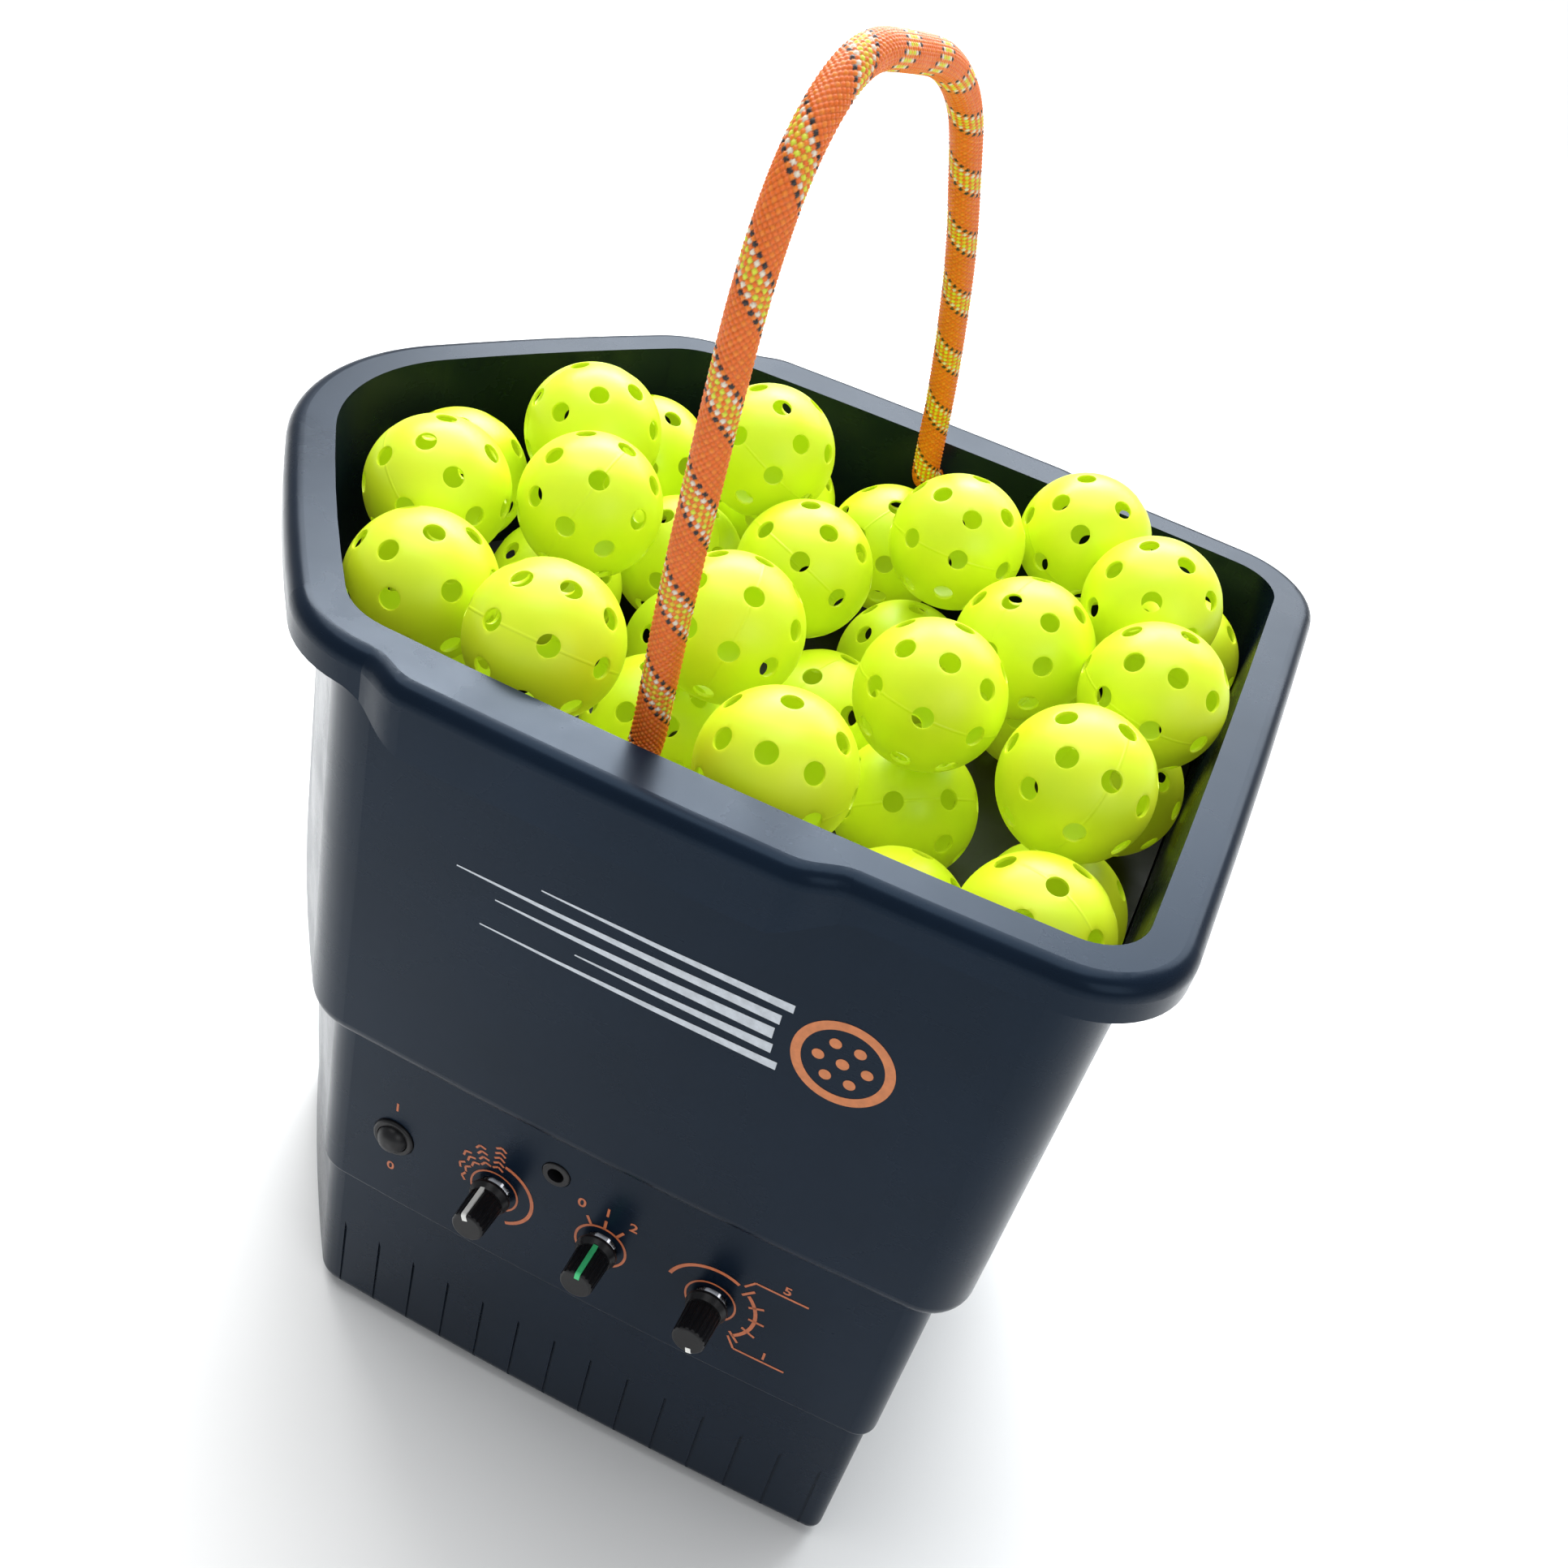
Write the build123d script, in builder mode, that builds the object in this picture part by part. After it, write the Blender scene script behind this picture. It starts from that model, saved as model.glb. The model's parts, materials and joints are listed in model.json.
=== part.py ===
from build123d import *
from math import cos, hypot, pi, radians, sin, sqrt, tan
import os

# Portable ball-throwing machine built round a carrying bucket.  Millimetres, +Z up.
# The origin is on the ground under the middle of the rim.  +X is the flat end, where
# the balls leave, -X is the rounded nose, and -Y is the long side with the controls.

os.makedirs("parts", exist_ok=True)

# ---- plan of the bucket: the inner edge of the rim ----
HALF_WIDTH = 183.3  # long sides, at their ends
LONG_BOW = 4.9  # long sides bulge outward this much at the middle
FLAT_END_X = 237.6
FLAT_BOW = 1.3
SHOULDER_X = -128.4  # where the long sides turn towards the nose
NOSE_POINT_X = -255.4  # where the two nose walls would meet
NOSE_BOW = 4.6
NOSE_RADIUS = 97.0
SHOULDER_RADIUS = 39.0
END_RADIUS = 27.0
MID_X = (FLAT_END_X + SHOULDER_X) / 2

# ---- heights ----
BASE_BOTTOM = 6.0
BASE_STEP = 118.0  # panel band starts
BUCKET_BOTTOM = 248.0
RIM_TOP = 510.0
WALL = 3.5

# ---- outer wall offsets from the plan ----
GROW_RIM = 24.5
GROW_BUCKET_TOP = 4.0
GROW_BUCKET_LOW = 0.0
GROW_PANEL_TOP = -13.0
GROW_PANEL_LOW = -14.6
GROW_BASE_TOP = -18.5
GROW_BASE_LOW = -20.0

# ---- rim ----
RIM_DROP = 20.0
GRIP_DROP = 36.0
GRIP_REACH = 8.5
GRIP_X = 8.6
GRIP_HALF = 88.0
GRIP_BLEND = 34.0
RIM_ROUND = 9.0
RIM_SKIN = 3.0

# ---- controls ----
CONTROL_Z = 174.0
BUTTON_X = -79.5
FEED_X = -15.0
JACK_X = 18.0
JACK_Z = 212.0
POWER_X = 51.0
SPEED_X = 117.0
KNOB_RADIUS = 10.0
KNOB_REACH = 30.0  # from the panel to the end of a knob
SEAT_DEPTH = 1.0
WASHER_RADIUS = 9.5
BUSHING_RADIUS = 4.5
SHAFT_RADIUS = 3.0
NUT_ACROSS_FLATS = 14.0
NUT_HEIGHT = 3.5
BEZEL_RADIUS = 12.5
BARREL_RADIUS = 11.0
DOME_RADIUS = 9.2
BUTTON_TRAVEL = 3.0
JACK_FLANGE_RADIUS = 8.2
JACK_BODY_RADIUS = 6.5
JACK_HOLE_RADIUS = 4.8
NUT_SEAT = 0.8  # washer thickness
KNOB_GAP = 5.2  # from the seat to the back of a knob
KNOB_FLUTES = 18
POINTER_WIDTH = 3.0
POINTER_INNER = 5.0
POINTER_LENGTH = 10.0
FEEDER_DIAL = -20.0  # where each pointer stands, clockwise from straight up
POWER_DIAL = 0.0
SPEED_DIAL = 165.0

# ---- bolts in the flat end ----
SIDE_BOLT_Y = -120.0
BUCKET_BOLT_Z = 452.0
BASE_BOLT_Z = 60.0
BOLT_HEAD_RADIUS = 4.5
BOLT_HEAD_HEIGHT = 2.5
BOLT_SHANK_RADIUS = 2.0
BOLT_LENGTH = 10.0

# ---- ribs of the base ----
GROOVES = 14
GROOVE_FIRST_X = -106.0
GROOVE_PITCH = 24.0
GROOVE_WIDTH = 1.6
GROOVE_DEPTH = 0.8

# ---- feeder ----
HOPPER_FLOOR_TOP = 388.0
FLOOR_THICKNESS = 4.0
FEED_AXIS_X = -36.0
POCKET_CIRCLE = 96.0
POCKET_RADIUS = 41.0
CAROUSEL_RADIUS = 122.0
HOUSING_RADIUS = 142.5
HOUSING_WALL = 3.5
HOUSING_FLANGE = 16.5
CAROUSEL_FLOOR_TOP = 306.0
POCKETS = 6
CAROUSEL_FLOOR_LOW = CAROUSEL_FLOOR_TOP - FLOOR_THICKNESS
DROP_X = FEED_AXIS_X + POCKET_CIRCLE
CAROUSEL_LOW = 314.0
CAROUSEL_TOP = 348.0
SPOKE_TIP_ROUND = 3.0
FEED_SHAFT_RADIUS = 5.0
FLOOR_SCREW_CIRCLE = 152.5
FLOOR_SCREW_HEAD_RADIUS = 4
FLOOR_SCREW_HEAD_HEIGHT = 2
FEED_HOLE_ANGLES = (120, 180, 240)

# ---- power and electronics ----
BATTERY_SIZE = (118.0, 126.0, 55.0)
BATTERY_X = -104.0
STRAP_WIDTH = 25.0
STRAP_THICKNESS = 2.0
BOARD_CENTRE = (-30.0, -112.0)
BOARD_SIZE = (94.0, 62.0)
BOARD_Z = 45.0

# ---- launcher ----
BALL_RADIUS = 37.0
LAUNCH_Z = 180.0
DECK_TOP = 126.0
DECK_THICKNESS = 5.0
WHEEL_X = 135.0
WHEEL_RADIUS = 50.0
WHEEL_GAP = 66.0  # between the tyres, narrower than a ball
WHEEL_WIDTH = 44.0
WHEEL_Y = WHEEL_GAP / 2 + WHEEL_RADIUS
PORT_RADIUS = 43.0
PORT_FLANGE = 58.0
PORT_SCREW_CIRCLE = 51.5
PORT_TUBE = 33.0
TROUGH_START = 16.0
TROUGH_LENGTH = 80.0
DROP_TUBE_LOW = 222.0
DECK_LENGTH = 184.0
DECK_WIDTH = 290.0
MOTOR_RADIUS = 24.0
MOTOR_LENGTH = 62.0
MOTOR_SCREW_CIRCLE = 15.0
MOTOR_SCREW_RADIUS = 1.5
MOTOR_SCREW_LENGTH = 10.0
WHEEL_SHAFT_RADIUS = 4.0
HUB_RADIUS = 38.0

BALL_SKIN = 1.5
BALL_PITCH = 74.2  # nearest that two balls' centres may come
# Loose balls: the heap on top, lowest first.  A loop fills the room under it.
HEAP_BALLS = [
    (-150, -55, 425),
    (110, -40, 425),
    (65, 80, 425),
    (-20, -70, 430),
    (200, 45, 430),
    (-75, 75, 435),
    (-50, 145, 455),
    (25, 145, 455),
    (-125, 125, 460),
    (200, 145, 460),
    (-190, 20, 465),
    (195, -140, 465),
    (5, 45, 480),
    (130, 40, 490),
    (-130, -120, 490),
    (65, -145, 495),
    (-165, -50, 495),
    (185, -70, 500),
    (70, 100, 500),
    (105, -50, 500),
    (5, -65, 500),
    (-130, 50, 505),
    (130, 150, 505),
    (-55, -140, 505),
    (200, 20, 505),
    (-95, -20, 505),
    (-45, 95, 510),
    (180, 95, 510),
]
FILL_STEP = 8.0  # spacing of the places tried for the balls under the heap
FILL_TOP = 440.0  # highest middle of a ball under the heap
FILL_CLEAR = 0.8  # least gap from such a ball to the wall or to a screw head

# ---- feet and chassis ----
FOOT_PLACES = [(-125, -105), (-125, 105), (185, -140), (185, 140)]
FOOT_RADIUS = 13.0
CHASSIS_BOTTOM = 10.0
CHASSIS_TOP = 13.0
POST_PLACES = [(40, -128), (40, 128), (196, -128), (196, 128)]

# ---- rope handle ----
ROPE_RADIUS = 8.0
ROPE_HOLE_RADIUS = 8.6
ROPE_HOLE_REACH = 9.0  # how far outside the inner plan each hole is cut
ROPE_Z = 487.0
ROPE_FRONT_X = 12.0
ROPE_BACK_X = 28.0
ROPE_TAIL = 10.0  # rope beyond the inside of each wall, up to its knot
ROPE_BEND_IN = 5.2  # straight rope inside each hole before it turns up
KNOT_RADIUS = 14.0
KNOT_LENGTH = 11.0
ROPE_ROUTE = [
    (12.5, -174.3, 492),
    (12.5, -168.7, 502.6),
    (12.5, -170.5, 530),
    (12.5, -173, 580),
    (12.5, -171, 645),
    (13, -168, 712),
    (14, -152, 758),
    (15, -112, 783),
    (18, -58, 773),
    (20, -8, 762),
    (22, 40, 735),
    (23, 72, 695),
    (25, 104, 650),
    (26, 132, 600),
    (27, 155, 549),
    (27.5, 165.5, 513),
    (27.8, 172.5, 494),
]


def finish(piece, name):
    """Name a finished piece and write its file."""
    piece.label = name
    export_step(piece, f"parts/{name}.step")


def feeder_place(radius, angle):
    """A place at a radius and an angle round the feed carousel's axis."""
    return (FEED_AXIS_X + radius * cos(radians(angle)), radius * sin(radians(angle)))


def tube_volume_ratio(piece, radius, length):
    """A swept tube's volume over its section times its length."""
    return piece.volume / (pi * radius**2 * length)


PLAN_CORNERS = [
    Vector(SHOULDER_X, -HALF_WIDTH),
    Vector(FLAT_END_X, -HALF_WIDTH),
    Vector(FLAT_END_X, HALF_WIDTH),
    Vector(SHOULDER_X, HALF_WIDTH),
    Vector(NOSE_POINT_X, 0),
]
PLAN_BOWS = [LONG_BOW, FLAT_BOW, LONG_BOW, NOSE_BOW, NOSE_BOW]
PLAN_RADII = [SHOULDER_RADIUS, END_RADIUS, END_RADIUS, SHOULDER_RADIUS, NOSE_RADIUS]
SMALLEST_CORNER = 4.0


def bowed_side(start, end, bow):
    """Centre, radius and outward direction of the arc of a bowed side."""
    run = end - start
    outward = Vector(run.Y, -run.X).normalized()
    radius = run.length**2 / (8 * bow) + bow / 2
    return (start + end) / 2 - outward * (radius - bow), radius, outward


def arcs_meet(side_a, side_b, grow, near):
    """Where two neighbouring sides meet once both have grown."""
    (centre_a, radius_a, _), (centre_b, radius_b, _) = side_a, side_b
    apart = centre_b - centre_a
    along = (apart.length**2 + (radius_a + grow) ** 2 - (radius_b + grow) ** 2) / (2 * apart.length)
    across = sqrt((radius_a + grow) ** 2 - along**2)
    unit = apart.normalized()
    foot = centre_a + unit * along
    step = Vector(-unit.Y, unit.X) * across
    return min((foot + step, foot - step), key=lambda point: (point - near).length)


def plan_at(height, grow):
    """The plan outline at a height, grown outward by a distance."""
    count = len(PLAN_CORNERS)
    ends = [PLAN_CORNERS[(index + 1) % count] for index in range(count)]
    sides = [bowed_side(*side) for side in zip(PLAN_CORNERS, ends, PLAN_BOWS)]
    corners = [arcs_meet(sides[i - 1], sides[i], grow, PLAN_CORNERS[i]) for i in range(count)]
    with BuildSketch(Plane.XY.offset(height), mode=Mode.PRIVATE) as grown:
        with BuildLine():
            for index, (centre, radius, outward) in enumerate(sides):
                middle = centre + outward * (radius + grow)
                ThreePointArc(corners[index], middle, corners[(index + 1) % count])
        make_face()
        for corner, radius in zip(corners, PLAN_RADII):
            at_corner = grown.vertices().filter_by(lambda v: hypot(v.X - corner.X, v.Y - corner.Y) < 0.01)
            fillet(at_corner, max(radius + grow, SMALLEST_CORNER))
    return grown.sketch


def long_side_y(x, grow):
    """Distance of the front face from the middle at a place along it."""
    along = (x - MID_X) / (FLAT_END_X - MID_X)
    return HALF_WIDTH + LONG_BOW * (1 - along**2) + grow


def grow_of_panel(height):
    share = (height - BASE_STEP) / (BUCKET_BOTTOM - BASE_STEP)
    return GROW_PANEL_LOW + (GROW_PANEL_TOP - GROW_PANEL_LOW) * share


def flat_end_x(y, grow):
    """Distance of the flat end's face from the middle at a place across it."""
    return FLAT_END_X + FLAT_BOW * (1 - (y / HALF_WIDTH) ** 2) + grow


def room_inside(x, y, height):
    """Least distance from a place inside the bucket to its walls, taken as flat."""
    share = (height - BUCKET_BOTTOM) / (RIM_TOP - BUCKET_BOTTOM)
    grow = GROW_BUCKET_LOW + (GROW_BUCKET_TOP - GROW_BUCKET_LOW) * share - WALL
    gaps = []
    for start, end in zip(PLAN_CORNERS, PLAN_CORNERS[1:] + PLAN_CORNERS[:1]):
        run = (end - start).normalized()
        gaps.append((y - start.Y) * run.X - (x - start.X) * run.Y)
    return min(gaps) + grow


def screw_gap(x, y, height):
    """Distance from a place in the hopper to the nearest screw head on its floor."""
    above = height - HOPPER_FLOOR_TOP - FLOOR_SCREW_HEAD_HEIGHT
    reach = FLOOR_SCREW_CIRCLE * sqrt(0.5)
    gaps = []
    for screw_x in (FEED_AXIS_X - reach, FEED_AXIS_X + reach):
        for screw_y in (-reach, reach):
            aside = max(0, hypot(screw_x - x, screw_y - y) - FLOOR_SCREW_HEAD_RADIUS)
            gaps.append(hypot(aside, above))
    return min(gaps)


def bolt_plane(height, grow):
    """Plane of the flat seat of a bolt head in the flat end, facing out."""
    seat_x = flat_end_x(SIDE_BOLT_Y, grow) - SEAT_DEPTH
    return Plane(origin=(seat_x, SIDE_BOLT_Y, height), x_dir=(0, 1, 0), z_dir=(1, 0, 0))


bucket_bolt_share = (BUCKET_BOLT_Z - BUCKET_BOTTOM) / (RIM_TOP - BUCKET_BOTTOM)
bucket_bolt_grow = GROW_BUCKET_LOW + (GROW_BUCKET_TOP - GROW_BUCKET_LOW) * bucket_bolt_share
base_bolt_share = (BASE_BOLT_Z - BASE_BOTTOM) / (BASE_STEP - BASE_BOTTOM)
base_bolt_grow = GROW_BASE_LOW + (GROW_BASE_TOP - GROW_BASE_LOW) * base_bolt_share
bucket_bolt = bolt_plane(BUCKET_BOLT_Z, bucket_bolt_grow)
base_bolt = bolt_plane(BASE_BOLT_Z, base_bolt_grow)

# The rope's two holes are on one slightly skewed line.
rope_start = Vector(ROPE_FRONT_X, -long_side_y(ROPE_FRONT_X, 0), ROPE_Z)
rope_finish = Vector(ROPE_BACK_X, long_side_y(ROPE_BACK_X, 0), ROPE_Z)
rope_axis = (rope_finish - rope_start).normalized()
rope_hole_plane = Plane(origin=rope_start - rope_axis * ROPE_HOLE_REACH, z_dir=rope_axis)
rope_span = (rope_finish - rope_start).length

# ---------------------------------------------------------------- hopper bucket
def rim_plan(grow):
    """The rim's outline with its two grips, grown outward by a distance."""
    reach = [GRIP_HALF + GRIP_BLEND, GRIP_HALF, 0, -GRIP_HALF, -GRIP_HALF - GRIP_BLEND]
    stand = [grow - 0.8, grow + GRIP_REACH, grow + GRIP_REACH, grow + GRIP_REACH, grow - 0.8]
    edge = [(GRIP_X - r, -long_side_y(GRIP_X - r, GROW_RIM) - s) for r, s in zip(reach, stand)]
    with BuildSketch(mode=Mode.PRIVATE) as outline:
        add(plan_at(0, GROW_RIM + grow))
        with BuildSketch():
            with BuildLine():
                Spline(edge[0], edge[1], tangents=[(1, 0), (1, 0)])
                ThreePointArc(edge[1], edge[2], edge[3])
                Spline(edge[3], edge[4], tangents=[(1, 0), (1, 0)])
                Polyline(edge[4], (edge[4][0], -HALF_WIDTH), (edge[0][0], -HALF_WIDTH), edge[0])
            make_face()
            mirror(about=Plane.XZ)
    return outline.sketch


with BuildPart() as hopper_bucket:
    with BuildSketch(Plane.XY.offset(RIM_TOP - GRIP_DROP)):
        add(rim_plan(0))
    extrude(amount=GRIP_DROP)
    for side in (-1, 1):
        low_edge = RIM_TOP - GRIP_DROP
        with BuildSketch(Plane.XZ) as skirt_cut:
            with BuildLine():
                near = GRIP_X + side * GRIP_HALF
                far = GRIP_X + side * 400
                Polyline(
                    (near, low_edge - 5),
                    (near, low_edge),
                    (near + side * GRIP_BLEND, RIM_TOP - RIM_DROP),
                    (far, RIM_TOP - RIM_DROP),
                    (far, low_edge - 5),
                    close=True,
                )
            make_face()
            blend_corner = skirt_cut.vertices().filter_by(
                lambda v: abs(v.X - near - side * GRIP_BLEND) < 1 and v.Y > low_edge
            )
            fillet(blend_corner, GRIP_BLEND / 2)
        extrude(amount=HALF_WIDTH * 2, both=True, mode=Mode.SUBTRACT)
    fillet(hopper_bucket.faces().sort_by(Axis.Z)[-1].edges(), RIM_ROUND)
    with BuildSketch(Plane.XY.offset(RIM_TOP - GRIP_DROP - 1)):
        add(rim_plan(-RIM_SKIN))
    extrude(amount=GRIP_DROP + 1 - WALL, mode=Mode.SUBTRACT)
    bucket_outlines = [plan_at(BUCKET_BOTTOM, GROW_BUCKET_LOW), plan_at(RIM_TOP - 1, GROW_BUCKET_TOP)]
    add(loft(bucket_outlines, mode=Mode.PRIVATE))
    fillet(hopper_bucket.faces().sort_by(Axis.Z)[0].edges(), 11)
    inner_low = plan_at(BUCKET_BOTTOM + WALL, GROW_BUCKET_LOW - WALL)
    inner_high = plan_at(RIM_TOP + 1, GROW_BUCKET_TOP - WALL)
    add(loft([inner_low, inner_high], mode=Mode.PRIVATE), mode=Mode.SUBTRACT)
    with BuildSketch(Plane.XY.offset(BUCKET_BOTTOM - 1)):
        add(plan_at(0, GROW_PANEL_TOP - 14))
    extrude(amount=WALL + 2, mode=Mode.SUBTRACT)
    with BuildSketch(rope_hole_plane):
        Circle(ROPE_HOLE_RADIUS)
    extrude(amount=rope_span + ROPE_HOLE_REACH * 2, mode=Mode.SUBTRACT)
    with BuildSketch(bucket_bolt):
        Circle(BOLT_HEAD_RADIUS + 0.5)
    extrude(amount=5, mode=Mode.SUBTRACT)
    with BuildSketch(bucket_bolt):
        Circle(BOLT_SHANK_RADIUS + 0.1)
    extrude(amount=-10, mode=Mode.SUBTRACT)
finish(hopper_bucket.part, "hopper_bucket")


# ---------------------------------------------------------------- base housing
HOUSING_FLOOR = 4.0


def seat_plane(x, height):
    """Plane of the flat seat cut in the front panel for a control, facing out."""
    seat_y = -long_side_y(x, grow_of_panel(height)) + SEAT_DEPTH
    return Plane(origin=(x, seat_y, height), x_dir=(1, 0, 0), z_dir=(0, -1, 0))


button_seat = seat_plane(BUTTON_X, CONTROL_Z)
feed_seat = seat_plane(FEED_X, CONTROL_Z)
power_seat = seat_plane(POWER_X, CONTROL_Z)
speed_seat = seat_plane(SPEED_X, CONTROL_Z)
jack_seat = seat_plane(JACK_X, JACK_Z)
port_face_x = flat_end_x(0, grow_of_panel(LAUNCH_Z))
port_plane = Plane(origin=(port_face_x - 1, 0, LAUNCH_Z), x_dir=(0, 1, 0), z_dir=(1, 0, 0))

with BuildPart() as base_housing:
    base_outlines = [plan_at(BASE_BOTTOM, GROW_BASE_LOW), plan_at(BASE_STEP + 1, GROW_BASE_TOP)]
    add(loft(base_outlines, mode=Mode.PRIVATE))
    fillet(base_housing.faces().sort_by(Axis.Z)[0].edges(), 8)
    with BuildPart(mode=Mode.PRIVATE) as panel_band:
        panel_outlines = [plan_at(BASE_STEP, GROW_PANEL_LOW), plan_at(BUCKET_BOTTOM, GROW_PANEL_TOP)]
        add(loft(panel_outlines, mode=Mode.PRIVATE))
        fillet(panel_band.faces().sort_by(Axis.Z)[0].edges(), 3.5)
    add(panel_band.part)
    lower_floor = plan_at(BASE_BOTTOM + HOUSING_FLOOR, GROW_BASE_LOW - WALL)
    lower_top = plan_at(BASE_STEP + WALL, GROW_BASE_TOP - WALL)
    add(loft([lower_floor, lower_top], mode=Mode.PRIVATE), mode=Mode.SUBTRACT)
    upper_low = plan_at(BASE_STEP + WALL, GROW_PANEL_LOW - WALL)
    upper_top = plan_at(BUCKET_BOTTOM + 1, GROW_PANEL_TOP - WALL)
    add(loft([upper_low, upper_top], mode=Mode.PRIVATE), mode=Mode.SUBTRACT)
    for seat, seat_radius, hole_radius in (
        (button_seat, BEZEL_RADIUS + 0.5, BARREL_RADIUS + 0.2),
        (feed_seat, WASHER_RADIUS + 0.5, BUSHING_RADIUS + 0.2),
        (power_seat, WASHER_RADIUS + 0.5, BUSHING_RADIUS + 0.2),
        (speed_seat, WASHER_RADIUS + 0.5, BUSHING_RADIUS + 0.2),
        (jack_seat, JACK_FLANGE_RADIUS + 0.5, JACK_BODY_RADIUS + 0.2),
    ):
        with BuildSketch(seat):
            Circle(seat_radius)
        extrude(amount=5, mode=Mode.SUBTRACT)
        with BuildSketch(seat):
            Circle(hole_radius)
        extrude(amount=-20, mode=Mode.SUBTRACT)
    with BuildSketch(port_plane):
        Circle(PORT_RADIUS + 4)
    extrude(amount=-40, mode=Mode.SUBTRACT)
    with BuildSketch(port_plane):
        Circle(PORT_FLANGE + 0.5)
    extrude(amount=10, mode=Mode.SUBTRACT)
    with BuildSketch(port_plane):
        with PolarLocations(PORT_SCREW_CIRCLE, 6, start_angle=30):
            Circle(1.8)
    extrude(amount=-10, mode=Mode.SUBTRACT)
    with BuildSketch(base_bolt):
        Circle(BOLT_HEAD_RADIUS + 0.5)
    extrude(amount=5, mode=Mode.SUBTRACT)
    with BuildSketch(base_bolt):
        Circle(BOLT_SHANK_RADIUS + 0.1)
    extrude(amount=-10, mode=Mode.SUBTRACT)
    with BuildSketch(Plane.XY.offset(BASE_BOTTOM - 1)):
        with Locations(FOOT_PLACES):
            Circle(2.1)
    extrude(amount=HOUSING_FLOOR + 2, mode=Mode.SUBTRACT)
    for face_side in (-1, 1):
        for index in range(GROOVES):
            groove_x = GROOVE_FIRST_X + index * GROOVE_PITCH
            groove_y = long_side_y(groove_x, GROW_BASE_LOW)
            with BuildSketch(Plane.XY.offset(BASE_BOTTOM - 1)):
                with Locations((groove_x, face_side * groove_y)):
                    Rectangle(GROOVE_WIDTH, GROOVE_DEPTH * 2)
            extrude(amount=BASE_STEP - BASE_BOTTOM - 9, mode=Mode.SUBTRACT)
finish(base_housing.part, "base_housing")


# ---------------------------------------------------------------- feet and chassis
with BuildPart() as rubber_feet:
    with BuildSketch():
        with Locations(FOOT_PLACES):
            Circle(FOOT_RADIUS)
    extrude(amount=BASE_BOTTOM)
    chamfer(rubber_feet.faces().group_by(Axis.Z)[0].edges(), 1.2)
    with BuildSketch():
        with Locations(FOOT_PLACES):
            Circle(4.2)
    extrude(amount=3, mode=Mode.SUBTRACT)
    with BuildSketch():
        with Locations(FOOT_PLACES):
            Circle(2.1)
    extrude(amount=BASE_BOTTOM, mode=Mode.SUBTRACT)
finish(rubber_feet.part, "rubber_feet")

with BuildPart() as foot_screws:
    with BuildSketch(Plane.XY.offset(1)):
        with Locations(FOOT_PLACES):
            Circle(4)
    extrude(amount=2)
    with BuildSketch(Plane.XY.offset(1)):
        with Locations(FOOT_PLACES):
            Circle(2)
    extrude(amount=CHASSIS_TOP - 1)
finish(foot_screws.part, "foot_screws")

with BuildPart() as chassis_plate:
    chassis_outline = plan_at(CHASSIS_BOTTOM, GROW_BASE_LOW - WALL - 4)
    add(extrude(chassis_outline, amount=CHASSIS_TOP - CHASSIS_BOTTOM, mode=Mode.PRIVATE))
    with BuildSketch(Plane.XY.offset(CHASSIS_BOTTOM)):
        with Locations(FOOT_PLACES):
            Circle(2.1)
        with Locations(POST_PLACES):
            Circle(2.6)
    extrude(amount=5, mode=Mode.SUBTRACT)
finish(chassis_plate.part, "chassis_plate")

with BuildPart() as deck_posts:
    with BuildSketch(Plane.XY.offset(CHASSIS_TOP)):
        with Locations(POST_PLACES):
            RegularPolygon(7, 6)
            Circle(2.6, mode=Mode.SUBTRACT)
    extrude(amount=DECK_TOP - DECK_THICKNESS - CHASSIS_TOP)
finish(deck_posts.part, "deck_posts")

with BuildPart() as launch_deck:
    with BuildSketch(Plane.XY.offset(DECK_TOP - DECK_THICKNESS)):
        with Locations(((POST_PLACES[0][0] + POST_PLACES[2][0]) / 2, 0)):
            RectangleRounded(DECK_LENGTH, DECK_WIDTH, 10)
        with Locations(POST_PLACES):
            Circle(2.6, mode=Mode.SUBTRACT)
        with Locations((WHEEL_X, -WHEEL_Y), (WHEEL_X, WHEEL_Y)):
            Circle(9, mode=Mode.SUBTRACT)
            with PolarLocations(MOTOR_SCREW_CIRCLE, 4, start_angle=45):
                Circle(1.7, mode=Mode.SUBTRACT)
    extrude(amount=DECK_THICKNESS)
finish(launch_deck.part, "launch_deck")

with BuildPart() as deck_screws:
    with BuildSketch(Plane.XY.offset(DECK_TOP)):
        with Locations(POST_PLACES):
            Circle(4.5)
    extrude(amount=3)
    fillet(deck_screws.faces().group_by(Axis.Z)[-1].edges(), 1)
    with BuildSketch(Plane.XY.offset(DECK_TOP - 18)):
        with Locations(POST_PLACES):
            Circle(2.5)
    extrude(amount=18)
finish(deck_screws.part, "deck_screws")

with BuildPart() as motor_screws:
    with BuildSketch(Plane.XY.offset(DECK_TOP - MOTOR_SCREW_LENGTH)):
        with Locations((WHEEL_X, -WHEEL_Y), (WHEEL_X, WHEEL_Y)):
            with PolarLocations(MOTOR_SCREW_CIRCLE, 4, start_angle=45):
                Circle(MOTOR_SCREW_RADIUS)
    extrude(amount=MOTOR_SCREW_LENGTH)
    with BuildSketch(Plane.XY.offset(CAROUSEL_FLOOR_TOP - MOTOR_SCREW_LENGTH)):
        with Locations((FEED_AXIS_X, 0)):
            with PolarLocations(MOTOR_SCREW_CIRCLE, 4, start_angle=45):
                Circle(MOTOR_SCREW_RADIUS)
    extrude(amount=MOTOR_SCREW_LENGTH)
finish(motor_screws.part, "motor_screws")

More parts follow.
